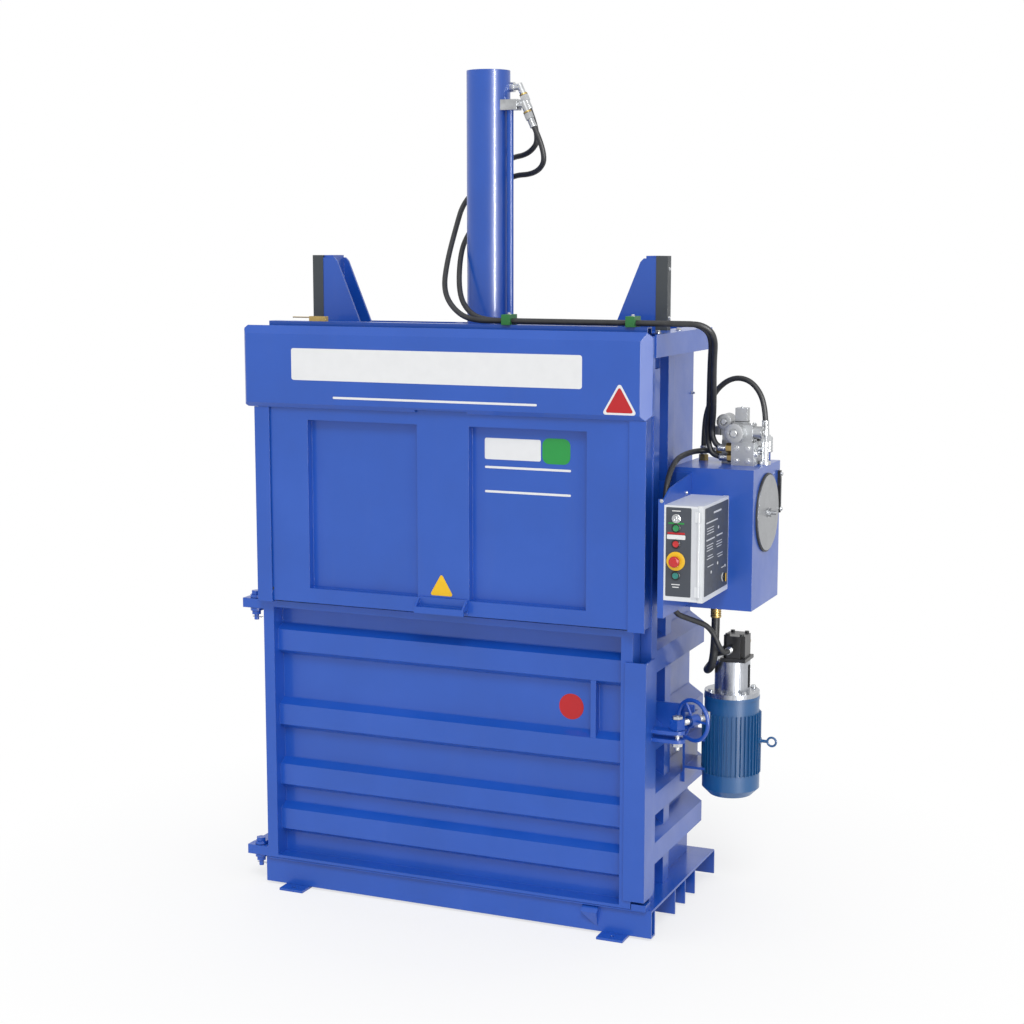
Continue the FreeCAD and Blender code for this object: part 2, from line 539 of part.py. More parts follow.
pins = []
EARS = (("upper", "door_top - ear_h", "door_top"), ("lower", "door_low", "door_low + ear_h"))
for word, ear_low, ear_high in EARS:
    low_nut = f"{ear_low} - lug_gap - lug_t - nut_h"
    high_nut = f"{ear_high} + lug_gap + lug_t"
    shank = rod(f"{word}_pin_shank", "z", HINGE, (f"{low_nut} - pin_tip", f"{high_nut} + 1"), "pin_d")
    head = hexagon(f"{word}_pin_head", "z", HINGE, (high_nut, f"{high_nut} + nut_h"), "nut_af")
    nut = hexagon(f"{word}_pin_nut", "z", HINGE, (low_nut, f"{low_nut} + nut_h"), "nut_af")
    pins.append(fuse(f"{word}_hinge_pin", shank, head, nut))
door_hinge_pins = group("door_hinge_pins", *pins)

# ---------------------------------------------------------------- chamber door
DOOR_Y = ("door_face", "door_rear")
door_parts = [box("door_sheet_panel", ("panel_left - bar_t", "panel_right + bar_t"), ("panel_y", "chamber_front"),
                  ("door_low", "door_top"))]
for word, (low, high) in (("left", ("-door_left", "panel_left")), ("right", ("panel_right", "door_right"))):
    bar = box(f"door_{word}_bar_outer", (low, high), DOOR_Y, ("door_low", "door_top"))
    hollow = box(f"door_{word}_bar_hollow", (f"{low} + bar_t", f"{high} - bar_t"),
                 ("door_face + bar_t", "door_rear + 1"), ("door_bar_low", "door_bar_high"))
    door_parts.append(cut(f"door_{word}_bar", bar, hollow))
for i, span in enumerate((("door_low", "door_bar_low"), ("door_bar_high", "door_top"))):
    door_parts.append(box(f"door_ledge_{i}", ("-door_left", "door_right"), DOOR_Y, span))
for word, low, high in EARS:
    door_parts.append(box(f"door_ear_{word}", ("-hinge_x - ear_reach", "-door_left"),
                          ("door_face", "hinge_y + ear_r"), (low, high)))
door_parts.append(box("door_lip", ("-door_left", "door_right"), ("door_face", "door_face + lip_t"),
                      ("door_top - lip_h", "door_top")))
rib_hollows = []
for level in ("door_rib_low", "door_rib_second", "door_rib_third", "door_rib_high"):
    face, foot = "door_rib_face / 2", "(door_rib_face / 2 + door_rib_slope)"
    near = [("panel_y", f"{level} - {foot}"), ("door_rib_y", f"{level} - {face}"),
            ("door_rib_y", f"{level} + {face}"), ("panel_y", f"{level} + {foot}")]
    thin = "0.5 * door_rib_t"
    inside = [("panel_y", f"{level} - {foot} + 1.2 * door_rib_t"),
              ("door_rib_y + door_rib_t", f"{level} - {face} + {thin}"),
              ("door_rib_y + door_rib_t", f"{level} + {face} - {thin}"),
              ("panel_y", f"{level} + {foot} - 1.2 * door_rib_t")]
    door_parts.append(plate(level + "_hat", "yz", near, ("panel_left", "panel_right")))
    rib_hollows.append(plate(level + "_hollow", "yz", inside,
                             ("panel_left - bar_t - 1", "panel_right + bar_t + 1")))
door_parts.append(box("door_stiffener", ("stiffener_x - stiffener_w / 2", "stiffener_x + stiffener_w / 2"),
                      ("door_rib_y + 2", "panel_y"),
                      ("door_rib_third + door_rib_face / 2", "door_rib_high - door_rib_face / 2")))
door_holes = [rod(f"door_ear_hole_{word}", "z", HINGE, (f"{low} - ear_h", f"{high} + ear_h"),
                  "pin_d + 2 * pin_fit")
              for word, low, high in EARS]
door_panel = cut("door_panel", fuse("door_whole", *door_parts), *rib_hollows, *door_holes)

wrap_front = box("wrap_front", ("wrap_out - wrap_face", "wrap_out"), ("door_face - wrap_t", "door_face"),
                 ("wrap_low", "wrap_high"))
wrap_side = box("wrap_side", ("wrap_in", "wrap_out"), ("door_face - wrap_t", "door_face - wrap_t + wrap_flange"),
                ("wrap_low", "wrap_high"))
LATCH = ("latch_x", "latch_y")
lug_spans = {"low": ("latch_z - latch_lug_gap / 2 - latch_lug_t", "latch_z - latch_lug_gap / 2"),
             "high": ("latch_z + latch_lug_gap / 2", "latch_z + latch_lug_gap / 2 + latch_lug_t")}
wrap_parts = [wrap_front, wrap_side]
for word, span in lug_spans.items():
    wrap_parts.append(box(f"latch_lug_{word}", ("wrap_in", "latch_x"),
                          ("latch_y - latch_lug_w / 2", "latch_y + latch_lug_w / 2"), span))
    wrap_parts.append(rod(f"latch_lug_end_{word}", "z", LATCH, span, "latch_lug_w"))
lug_trim = box("latch_lug_trim", ("wall_out", "wrap_in"), ("latch_y - 60", "latch_y + 90"),
               ("latch_z - 60", "latch_z + 60"))
lug_hole = rod("latch_lug_hole", "z", LATCH, ("latch_z - 60", "latch_z + 60"), "latch_pin_d")
door_latch_channel = cut("door_latch_channel", fuse("wrap_whole", *wrap_parts), lug_trim, lug_hole)

PIN_FOOT = "latch_z - latch_lug_gap / 2 - latch_lug_t"
BLOCK_TOP = "latch_axis_z + block_w / 2"
pin_rod = rod("latch_pin_rod", "z", LATCH, (f"{PIN_FOOT} - 30", f"{BLOCK_TOP} + latch_play"), "latch_pin_d")
pin_nut = hexagon("latch_pin_nut", "z", LATCH, (f"{PIN_FOOT} - nut_h", PIN_FOOT), "nut_af")
pin_head = hexagon("latch_pin_head", "z", LATCH, (f"{BLOCK_TOP} + latch_play", f"{BLOCK_TOP} + latch_play + 10"),
                   "nut_af")
latch_pivot_bolt = fuse("latch_pivot_bolt", pin_rod, pin_nut, pin_head)

# ---------------------------------------------------------------- door latch, drawn straight and then swung out
block_low = "latch_z + latch_lug_gap / 2 + latch_lug_t + latch_play - latch_axis_z"
block = box("latch_block", ("-block_w / 2", "block_w / 2"), ("-block_w / 2", "block_w / 2"),
            (block_low, "block_w / 2"))
screw = rod("latch_screw", "y", ("0", "0"), ("block_w / 2 - 1", "block_w / 2 + screw_l"), "screw_d")
block_hole = rod("latch_block_hole", "z", ("0", "0"), ("-200", "200"), "latch_pin_d + 2 * pin_fit")
swing_screw = cut("swing_screw", fuse("swing_screw_whole", block, screw), block_hole)

rim = ring("wheel_rim", "y", ("0", "0"), "wheel_at", "wheel_d", "rim_d")
hub = rod("wheel_hub", "y", ("0", "0"), ("wheel_at - hub_l / 2", "wheel_at + hub_l / 2"), "hub_d")
wheel_parts = [rim, hub]
for i in range(int(size("spokes"))):
    spoke = doc.addObject("Part::Cylinder", f"wheel_spoke_{i}")
    bind(spoke, "Radius", "spoke_d / 2")
    bind(spoke, "Height", "wheel_d / 2")
    turn = Rotation(Vector(0, 1, 0), 90 + 360 * i / size("spokes"))
    wheel_parts.append(place(spoke, "0", "wheel_at", "0", turn))
hub_bore = rod("wheel_bore", "y", ("0", "0"), ("0", "2 * wheel_at"), "screw_d + 2 * pin_fit")
handwheel = cut("handwheel", fuse("handwheel_whole", *wheel_parts), hub_bore)

HEAD_AT = "keeper_at + keeper_t + keeper_play"
shank = rod("draw_shank", "y", ("0", "0"), ("bolt_start", f"{HEAD_AT} + 1"), "screw_d")
head = box("draw_head", ("-head_x / 2", "head_x / 2"), (HEAD_AT, f"{HEAD_AT} + head_t"),
           ("-head_w / 2", "head_w / 2"))
draw_bolt = fuse("draw_bolt", shank, head)
for piece in (swing_screw, handwheel, draw_bolt):
    place(piece, "latch_x", "latch_y", "latch_axis_z", Rotation(Vector(0, 0, -1), size("latch_open")))
    bind(piece, ".Placement.Rotation.Angle", "latch_open")

KEEPER_TIP = "latch_x + keeper_reach"
KEEPER_IN = "latch_x - screw_d / 2 - keeper_play"
KEEPER_Y = "latch_y + keeper_at"
latch_keeper = plate("latch_keeper", "xz", [
    ("rib_out", "rib_third"), ("rib_out", "rib_third + rib_face / 2"), ("wall_out", "rib_third + rib_foot / 2"),
    ("wall_out", "latch_axis_z + keeper_h / 2"), (KEEPER_TIP, "latch_axis_z + keeper_h / 2"),
    (KEEPER_TIP, "latch_axis_z + keeper_slot / 2"), (KEEPER_IN, "latch_axis_z + keeper_slot / 2"),
    (KEEPER_IN, "latch_axis_z - keeper_slot / 2"), (KEEPER_TIP, "latch_axis_z - keeper_slot / 2"),
    (KEEPER_TIP, "latch_axis_z - keeper_h / 2")], (KEEPER_Y, f"{KEEPER_Y} + keeper_t"))

# ---------------------------------------------------------------- feed gate
GATE_X = ("-gate_half", "gate_half")
gate_slab = box("gate_slab", GATE_X, ("gate_front", "gate_rear"), ("gate_low", "gate_top"))
RECESS_Z = ("gate_low + gate_low_rail", "gate_top - gate_top_rail")
gate_cuts = []
for side, word in SIDES:
    gate_cuts.append(box(f"gate_recess_{word}", mirrored(side, "gate_mid / 2", "gate_half - gate_stile"),
                         ("gate_front - 1", "gate_front + gate_recess"), RECESS_Z))
    gate_cuts.append(box(f"gate_back_{word}", mirrored(side, "gate_mid / 2", "gate_half - gate_stile"),
                         ("gate_front + gate_recess + gate_sheet", "gate_rear + 1"), RECESS_Z))
    gate_cuts.append(box(f"gate_stile_hollow_{word}",
                         mirrored(side, "gate_half - gate_stile + gate_sheet", "gate_half - gate_sheet"),
                         ("gate_front + gate_sheet", "gate_rear - gate_sheet"), ("gate_low - 1", "gate_top + 1")))
gate_cuts.append(box("gate_mid_hollow", ("-gate_mid / 2 + gate_sheet", "gate_mid / 2 - gate_sheet"),
                     ("gate_front + gate_sheet", "gate_rear - gate_sheet"), ("gate_low - 1", "gate_top + 1")))
for i, (low, high) in enumerate((("gate_low", RECESS_Z[0]), (RECESS_Z[1], "gate_top"))):
    gate_cuts.append(box(f"gate_rail_hollow_{i}", ("-gate_half + gate_sheet", "gate_half - gate_sheet"),
                         ("gate_front + gate_sheet", "gate_rear - gate_sheet"),
                         (f"{low} + gate_sheet", f"{high} - gate_sheet")))
gate_panel = cut("gate_panel", gate_slab, *gate_cuts)

HANDLE_Z = "gate_low + handle_z"
HANDLE_FRONT = "gate_front - handle_reach"
HANDLE_X = ("-handle_w / 2", "handle_w / 2")
handle_parts = [
    box("handle_back", HANDLE_X, ("gate_front - handle_t", "gate_front"),
        (f"{HANDLE_Z} - 16", f"{HANDLE_Z} + handle_t + gusset_h")),
    box("handle_shelf", HANDLE_X, (HANDLE_FRONT, "gate_front"), (HANDLE_Z, f"{HANDLE_Z} + handle_t")),
    box("handle_grip", HANDLE_X, (HANDLE_FRONT, f"{HANDLE_FRONT} + handle_t"),
        (f"{HANDLE_Z} + handle_t - handle_lip", f"{HANDLE_Z} + handle_t"))]
for side, word in SIDES:
    handle_parts.append(plate(f"handle_gusset_{word}", "yz", [
        ("gate_front - handle_t", f"{HANDLE_Z} + handle_t"),
        ("gate_front - handle_t", f"{HANDLE_Z} + handle_t + gusset_h"),
        (HANDLE_FRONT, f"{HANDLE_Z} + handle_t")], mirrored(side, "handle_w / 2 - gusset_t", "handle_w / 2")))
handle_slot = box("handle_opening", ("-handle_w / 2 + 2 * gusset_t", "handle_w / 2 - 2 * gusset_t"),
                  (f"{HANDLE_FRONT} + 1.5 * handle_t", f"{HANDLE_FRONT} + 1.5 * handle_t + handle_slot"),
                  (f"{HANDLE_Z} - 1", f"{HANDLE_Z} + handle_t + 1"))
gate_handle = cut("gate_handle", fuse("handle_whole", *handle_parts), handle_slot)

# ---------------------------------------------------------------- front hood, header beam, top rails
HOOD_Y = "-hood_front"
HOOD_BACK = "-hood_rear"
top_view = [("-hood_left", HOOD_BACK), ("-hood_left", f"{HOOD_Y} + hood_nose"), ("-hood_left + hood_nose", HOOD_Y),
            ("hood_right - hood_corner", HOOD_Y), ("hood_right", f"{HOOD_Y} + hood_corner"),
            ("hood_right", HOOD_BACK)]
side_view = [(HOOD_BACK, "hood_low"), (f"{HOOD_Y} + hood_low_in", "hood_low"),
             (HOOD_Y, "hood_low + hood_low_rise"), (HOOD_Y, "hood_top - hood_top_drop"),
             (f"{HOOD_Y} + hood_top_in", "hood_top"), (HOOD_BACK, "hood_top")]
front_view = [("-hood_left + hood_nose", "hood_low"), ("-hood_left", "hood_low + hood_nose"),
              ("-hood_left", "hood_top - hood_nose"), ("-hood_left + hood_nose", "hood_top"),
              ("hood_right - hood_end_cut", "hood_top"), ("hood_right", "hood_top - hood_end_cut"),
              ("hood_right", "hood_low + hood_end_cut"), ("hood_right - hood_end_cut", "hood_low")]
hood_solid = common("hood_solid", plate("hood_plan", "xy", top_view, ("hood_low", "hood_top")),
                    plate("hood_profile", "yz", side_view, ("-hood_left", "hood_right")),
                    plate("hood_front_outline", "xz", front_view, (HOOD_Y, HOOD_BACK)))
HOOD_ENDS = ("-hood_left + hood_t", "hood_right - hood_t")
HOOD_BEND = "0.414 * hood_t"
inner_top = [(HOOD_ENDS[0], f"{HOOD_BACK} + 9"), (HOOD_ENDS[0], f"{HOOD_Y} + hood_nose + {HOOD_BEND}"),
             (f"-hood_left + hood_nose + {HOOD_BEND}", f"{HOOD_Y} + hood_t"),
             (f"hood_right - hood_corner - {HOOD_BEND}", f"{HOOD_Y} + hood_t"),
             (HOOD_ENDS[1], f"{HOOD_Y} + hood_corner + {HOOD_BEND}"), (HOOD_ENDS[1], f"{HOOD_BACK} + 9")]
inner_side = [(f"{HOOD_BACK} + 9", "hood_low - 9"), (f"{HOOD_Y} + hood_low_in + 2 * hood_t", "hood_low - 9"),
              (f"{HOOD_Y} + hood_low_in + 1.4 * hood_t", "hood_low"),
              (f"{HOOD_Y} + hood_t", "hood_low + hood_low_rise + 0.4 * hood_t"),
              (f"{HOOD_Y} + hood_t", "hood_top - hood_top_drop - 0.3 * hood_t"),
              (f"{HOOD_Y} + hood_top_in + 1.2 * hood_t", "hood_top"),
              (f"{HOOD_Y} + hood_top_in + 2 * hood_t", "hood_top + 9"), (f"{HOOD_BACK} + 9", "hood_top + 9")]
hood_inside = common("hood_inside", plate("hood_inner_plan", "xy", inner_top, ("hood_low - 9", "hood_top + 9")),
                     plate("hood_inner_profile", "yz", inner_side, HOOD_ENDS))
hood_notch = box("hood_notch", ("-notch_w / 2", "notch_w / 2"), (f"{HOOD_Y} - 1", HOOD_BACK),
                 ("hood_low - 1", "hood_low + notch_h"))
guide_gaps = [box(f"{word}_hood_guide_gap", mirrored(side, "guide_in - 2", "guide_web_at + guide_web + 2"),
                  ("-guide_front - 2", HOOD_BACK), ("hood_low - 1", "hood_low + hood_low_rise"))
              for side, word in SIDES]
front_hood = cut("front_hood", hood_solid, hood_inside, hood_notch, *guide_gaps)

HEADER_Y = ("-header_front", "-header_front + header_d")
header_outer = box("header_outer", ("-guide_web_at", "guide_web_at"), HEADER_Y, ("header_low", "header_top"))
header_bore = box("header_bore", ("-guide_web_at - 1", "guide_web_at + 1"),
                  ("-header_front + header_t", "-header_front + header_d - header_t"),
                  ("header_low + header_t", "header_top - header_t"))
header_beam = cut("header_beam", header_outer, header_bore)

rails = {}
for side, word in SIDES:
    face = plate(f"{word}_rail_face", "yz", [
        (HOOD_BACK, "rail_low"), ("rail_rear - rail_cut", "rail_low"), ("rail_rear", "rail_low + rail_cut"),
        ("rail_rear", "wall_top"), (HOOD_BACK, "wall_top")], mirrored(side, f"rail_{word} - rail_t", f"rail_{word}"))
    cover = box(f"{word}_rail_cover", mirrored(side, "wall_out", f"rail_{word}"), ("post_front", "rail_rear"),
                ("wall_top - rail_t", "wall_top"))
    gap = box(f"{word}_rail_gap", mirrored(side, "wall_out - 1", "track_out"), ("track_front", "track_rear"),
              ("rail_low", "wall_top + 1"))
    rails[word] = cut(f"{word}_top_rail", fuse(f"{word}_rail_whole", face, cover), gap)

# ---------------------------------------------------------------- cylinder and its crosshead
RAM = ("0", "ram_y")
barrel_turned = turned("barrel_turned", [
    ("bore_d / 2", "0"), ("barrel_d / 2", "0"), ("barrel_d / 2", "beam_top - barrel_low"),
    ("flange_d / 2", "beam_top - barrel_low"), ("flange_d / 2", "beam_top + flange_t - barrel_low"),
    ("barrel_d / 2", "beam_top + flange_t - barrel_low"), ("barrel_d / 2", "barrel_top - barrel_low"),
    ("0", "barrel_top - barrel_low"), ("0", "barrel_top - cap_t - barrel_low"),
    ("bore_d / 2", "barrel_top - cap_t - barrel_low")], "0", "ram_y", "barrel_low")
PIPE = ("pipe_x", "ram_y + pipe_back")
pipe_notch = rod("flange_pipe_notch", "z", PIPE, ("beam_low", "beam_top + 2 * flange_t"), "pipe_d + 6")
gland = turned("gland", [
    ("rod_d / 2 + rod_fit", "0"), ("bore_d / 2", "0"), ("bore_d / 2", "gland_t"),
    ("rod_d / 2 + rod_fit", "gland_t")], "0", "ram_y", "barrel_low")

ROD_L = "piston_top - piston_t - platen_floor"
piston_rod = turned("piston_rod", [
    ("0", "0"), ("rod_d / 2", "0"), ("rod_d / 2", ROD_L), ("bore_d / 2 - piston_play", ROD_L),
    ("bore_d / 2 - piston_play", f"{ROD_L} + piston_t"), ("0", f"{ROD_L} + piston_t")],
    "0", "ram_y", "platen_floor")

BEAM_Z = ("beam_low", "beam_top")
beams = []
for word, low, high in (("front", "beam_front_in - beam_w", "beam_front_in"),
                        ("rear", "beam_rear_in", "beam_rear_in + beam_w")):
    outer = box(f"{word}_beam_outer", ("-half_w", "half_w"), (low, high), BEAM_Z)
    inner = box(f"{word}_beam_inner", ("-half_w - 1", "half_w + 1"), (f"{low} + beam_t", f"{high} - beam_t"),
                ("beam_low + beam_t", "beam_top - beam_t"))
    beams.append(cut(f"{word}_beam", outer, inner))
saddle = box("saddle", ("-saddle_w / 2", "saddle_w / 2"), ("beam_front_in", "beam_rear_in"),
             ("beam_top - saddle_t", "beam_top"))
barrel_hole = rod("saddle_hole", "z", RAM, ("beam_low - 9", "beam_top + 9"), "barrel_d + 2")
saddle_pipe_hole = rod("saddle_pipe_hole", "z", PIPE, ("beam_low - 9", "beam_top + 9"), "pipe_d + 6")
cylinder_crosshead = cut("cylinder_crosshead", fuse("crosshead_whole", *beams, saddle), barrel_hole,
                         saddle_pipe_hole)

flange_bolts = []
for i in range(int(size("flange_bolts"))):
    angle = 360 * (i + 0.5) / size("flange_bolts")
    centre = (f"flange_pcd / 2 * cos({angle} deg)", f"ram_y + flange_pcd / 2 * sin({angle} deg)")
    flange_bolts.append(hexagon(f"flange_bolt_{i}", "z", centre,
                                ("beam_top + flange_t - 1", "beam_top + flange_t + 0.65 * flange_bolt"),
                                "1.5 * flange_bolt"))
cylinder_barrel = cut("cylinder_barrel", fuse("barrel_whole", barrel_turned, gland, *flange_bolts), pipe_notch)

# ---------------------------------------------------------------- platen, towers, slide pads
PLATEN_X = ("-half_w + platen_side", "half_w - platen_side")
PLATEN_Y = ("chamber_front + platen_front", "rear_inner - platen_side")
tray = box("platen_tray", PLATEN_X, PLATEN_Y, ("platen_low", "platen_top"))
tray_hollow = box("platen_hollow", ("-half_w + platen_side + skirt_t", "half_w - platen_side - skirt_t"),
                  ("chamber_front + platen_front + skirt_t", "rear_inner - platen_side - skirt_t"),
                  ("platen_floor", "platen_top + 1"))
well = rod("platen_well", "z", RAM, ("platen_floor - 1", "platen_top"), "well_d + 2 * well_t")
well_hollow = rod("platen_well_hollow", "z", RAM, ("platen_floor", "platen_top + 1"), "well_d")
webs = [box("platen_web_front", ("-web_t / 2", "web_t / 2"), (PLATEN_Y[0], "ram_y - well_d / 2"),
            ("platen_floor", "platen_top")),
        box("platen_web_rear", ("-web_t / 2", "web_t / 2"), ("ram_y + well_d / 2", PLATEN_Y[1]),
            ("platen_floor", "platen_top"))]
for side, word in SIDES:
    webs.append(box(f"platen_web_{word}", mirrored(side, "well_d / 2", "tower_in"),
                    ("ram_y - web_t / 2", "ram_y + web_t / 2"), ("platen_floor", "platen_top")))
platen = cut("platen", fuse("platen_whole", cut("platen_shell", tray, tray_hollow), well, *webs), well_hollow)

towers = {}
pads = []
for side, word in SIDES:
    core_y = ("tower_front + tower_plate", "tower_rear - tower_plate")
    core = box(f"{word}_core_outer", mirrored(side, "tower_out - core_w", "tower_out"), core_y,
               ("platen_floor", "tower_top"))
    bore = box(f"{word}_core_bore", mirrored(side, "tower_out - core_w + core_t", "tower_out - core_t"),
               (f"{core_y[0]} + core_t", f"{core_y[1]} - core_t"), ("platen_floor - 1", "tower_top + 1"))
    shape = [("tower_out", "platen_floor"), ("tower_out", "tower_top - tower_plate"),
             ("tower_out - tower_top_w + tower_round", "tower_top - tower_plate"),
             ("tower_out - tower_top_w", "tower_top - tower_plate - tower_round"),
             ("tower_in", "tower_waist"), ("tower_in", "platen_floor")]
    cheeks = [plate(f"{word}_tower_front", "xz", flipped(side, shape), ("tower_front", core_y[0])),
              plate(f"{word}_tower_rear", "xz", flipped(side, shape), (core_y[1], "tower_rear"))]
    towers[word] = fuse(f"{word}_tower", cut(f"{word}_core", core, bore), *cheeks)
    pads.append(box(f"{word}_pad", mirrored(side, "tower_out", "track_out - track_t - pad_play"),
                    ("track_y - pad_d / 2", "track_y + pad_d / 2"), ("platen_top", "tower_top")))
guide_pads = group("guide_pads", *pads)

# ---------------------------------------------------------------- pipe, port block and fittings on the cylinder
pipe_parts = [rod("pipe_run", "z", PIPE, ("pipe_low", "port_block_z"), "pipe_d"),
              rod("pipe_foot", "x", (PIPE[1], "pipe_low + pipe_d / 2"), ("barrel_d / 4", "pipe_x"), "pipe_d")]

BLOCK_MID = "port_block_z + port_block_h / 2"
block_box = box("port_block_body", ("pipe_x - port_block_w / 2 - 10", "pipe_x + port_block_w / 2 + 6"),
                (f"{PIPE[1]} - port_block_d / 2", f"{PIPE[1]} + port_block_d / 2"),
                ("port_block_z", "port_block_z + port_block_h"))
KNEE = ("knee_x", PIPE[1], BLOCK_MID)
LEG = ("-elbow_d / 2", "elbow_leg - elbow_nut_l / 2")
LEG_NUT = ("elbow_leg - elbow_nut_l", "elbow_leg")
arm = rod("port_arm", "x", (PIPE[1], BLOCK_MID), ("pipe_x", "knee_x"), "elbow_d")
knee = leaning(rod, "port_knee", KNEE, LEG, "elbow_d")
knee_nut = leaning(hexagon, "port_nut", KNEE, LEG_NUT, "elbow_af")
trim = rod("port_block_trim", "z", RAM, ("barrel_low", "barrel_top"), "barrel_d")
rod_supply_pipe = cut("rod_supply_pipe", fuse("pipe_whole", *pipe_parts, block_box, arm, knee, knee_nut), trim)

ELBOW = ("elbow_x", "0", "elbow_z")
elbow_arm = rod("elbow_arm", "x", ("0", "elbow_z"), ("barrel_d / 4", "elbow_x"), "elbow_d")
elbow_down = leaning(rod, "elbow_down", ELBOW, LEG, "elbow_d")
elbow_nut = leaning(hexagon, "elbow_nut", ELBOW, LEG_NUT, "elbow_af")
elbow_collar = rod("elbow_collar", "x", ("0", "elbow_z"), ("barrel_d / 4", "barrel_d / 2 + collar_out"),
                   "elbow_collar_d")
elbow_trim = rod("elbow_trim", "z", RAM, ("barrel_low", "barrel_top"), "barrel_d")
extend_elbow = cut("extend_elbow", fuse("elbow_whole", elbow_arm, elbow_down, elbow_nut, elbow_collar), elbow_trim)

# ---------------------------------------------------------------- oil tank
TANK_Y = ("tank_front", "tank_rear")
tank_outer = box("tank_outer", ("tank_in", "tank_out"), TANK_Y, ("tank_low", "tank_top"))
tank_inner = box("tank_inner", ("tank_in + tank_t", "tank_out - tank_t"),
                 ("tank_front + tank_t", "tank_rear - tank_t"), ("tank_low + tank_t", "tank_top - tank_t"))
COVER = ("cover_y", "cover_z")
hatch = rod("tank_hatch", "x", COVER, ("tank_out - 2 * tank_t", "tank_out + 1"), "hatch_d")
mounts = [box(f"tank_mount_{i}", ("wall_out", "tank_in"), (low, f"{low} + 10"),
              ("tank_low + 60", "tank_top - 60"))
          for i, low in enumerate(("tank_front + 10", "tank_rear - 20"))]
BREATHER = ("breather_x", "breather_y")
breather = fuse("breather",
                rod("breather_neck", "z", BREATHER, ("tank_top", "tank_top + 2 * breather_h / 3"),
                    "0.6 * breather_d"),
                rod("breather_cap", "z", BREATHER, ("tank_top + 0.6 * breather_h", "tank_top + 1.6 * breather_h"),
                    "breather_d"))
oil_tank = cut("oil_tank", fuse("tank_whole", cut("tank_shell", tank_outer, tank_inner), *mounts, breather), hatch)
seal_outer = rod("gasket_outer", "x", COVER, ("tank_out", "tank_out + gasket_t"), "gasket_d")
seal_inner = rod("gasket_inner", "x", COVER, ("tank_out - 1", "tank_out + gasket_t + 1"), "hatch_d")
cover_gasket = cut("cover_gasket", seal_outer, seal_inner)
COVER_X = "tank_out + gasket_t"
tank_cover = fuse("tank_cover", rod("cover_disc", "x", COVER, (COVER_X, f"{COVER_X} + cover_t"), "cover_d"),
                  hexagon("cover_nut", "x", COVER, (f"{COVER_X} + cover_t - 1", f"{COVER_X} + cover_t + 12"),
                          "1.8 * cover_bolt"),
                  rod("cover_stud", "x", COVER, (COVER_X, f"{COVER_X} + cover_bolt_l"), "cover_bolt"))
oil_level_gauge = box("oil_level_gauge", ("tank_out", "tank_out + gauge_t"),
                      ("gauge_y - gauge_w / 2", "gauge_y + gauge_w / 2"), ("gauge_z", "gauge_z + gauge_h"))

# ---------------------------------------------------------------- valves on the tank
manifold_block = box("manifold_block", ("block_x", "block_out"), ("block_front", "block_rear"),
                     ("tank_top", "block_top"))
manifold_step = box("manifold_step", ("block_x - 1", "block_x + port_step_x"),
                    ("block_front - 1", "block_front + port_step_y"), ("tank_top - 1", "block_top + 1"))
valve_manifold = cut("valve_manifold", manifold_block, manifold_step)
VALVE_Z = "block_top + 38"
BACK_Z = "block_top + 76"
SPOOL_Y = "block_front + 30"
front_body = box("front_valve_body", ("block_x + 52", "block_out - 8"), ("block_front + 4", "block_front + 66"),
                 ("block_top", "block_top + valve_h + 24"))
front_coil = rod("front_valve_coil", "y", ("block_x + 78", VALVE_Z), ("block_front - 42", "block_front + 6"),
                 "1.5 * coil_d")
front_end = rod("front_valve_end", "x", (SPOOL_Y, VALVE_Z), ("block_out - 10", "block_out + 24"), "coil_d")
front_plug = box("front_valve_plug", ("block_x + 66", "block_out - 34"), ("block_front + 16", "block_front + 54"),
                 ("block_top + valve_h", "block_top + 2.9 * valve_h"))
side_body = box("side_valve_body", ("block_x + 4", "block_x + 52"), ("block_rear - 58", "block_rear - 14"),
                ("block_top", BACK_Z))
side_coil = rod("side_valve_coil", "y", ("block_x + 18", BACK_Z), ("block_rear - 84", "block_rear - 10"),
                "1.2 * coil_d")
side_plug = box("side_valve_plug", ("block_x - 44", "block_x + 6"), ("block_rear - 54", "block_rear - 18"),
                ("block_top + 20", "block_top + 54"))
solenoid_valves = fuse("solenoid_valves", front_body, front_coil, front_end, front_plug, side_body, side_coil,
                       side_plug)

port_places = {"extend": ("block_x + port_step_x", "block_front + extend_in", "block_top - extend_down"),
               "retract": ("block_x + port_step_x", "block_front + retract_in", "block_top - retract_down"),
               "supply": ("block_x", "block_front + supply_in", "block_top - supply_down")}
fittings = [hexagon(f"{word}_fitting", "x", (y, z), (f"{face} - fitting_l", face), "fitting_af")
            for word, (face, y, z) in port_places.items()]
fittings.append(hexagon("suction_nut", "z", ("suction_x", "suction_y"), ("tank_low - fitting_l", "tank_low"),
                        "suction_af"))
fittings.append(hexagon("return_nut", "z", ("return_x", "return_y"), ("tank_top", "tank_top + fitting_l"),
                        "fitting_af"))
hose_fittings = group("hose_fittings", *fittings)

RISER = ("riser_x", "riser_y")
RISER_TOP = "tank_top + riser_h"
return_fitting = fuse("return_fitting", rod("riser_column", "z", RISER, ("tank_top", RISER_TOP), "riser_d"),
                      rod("riser_arm", "x", ("riser_y", "tank_top + 62"), ("block_out", "riser_x"), "24"),
                      hexagon("riser_nut", "z", RISER, (f"{RISER_TOP} - 48", f"{RISER_TOP} - 22"), "38"),
                      rod("riser_flange", "z", RISER, ("tank_top", "tank_top + 14"), "46"))

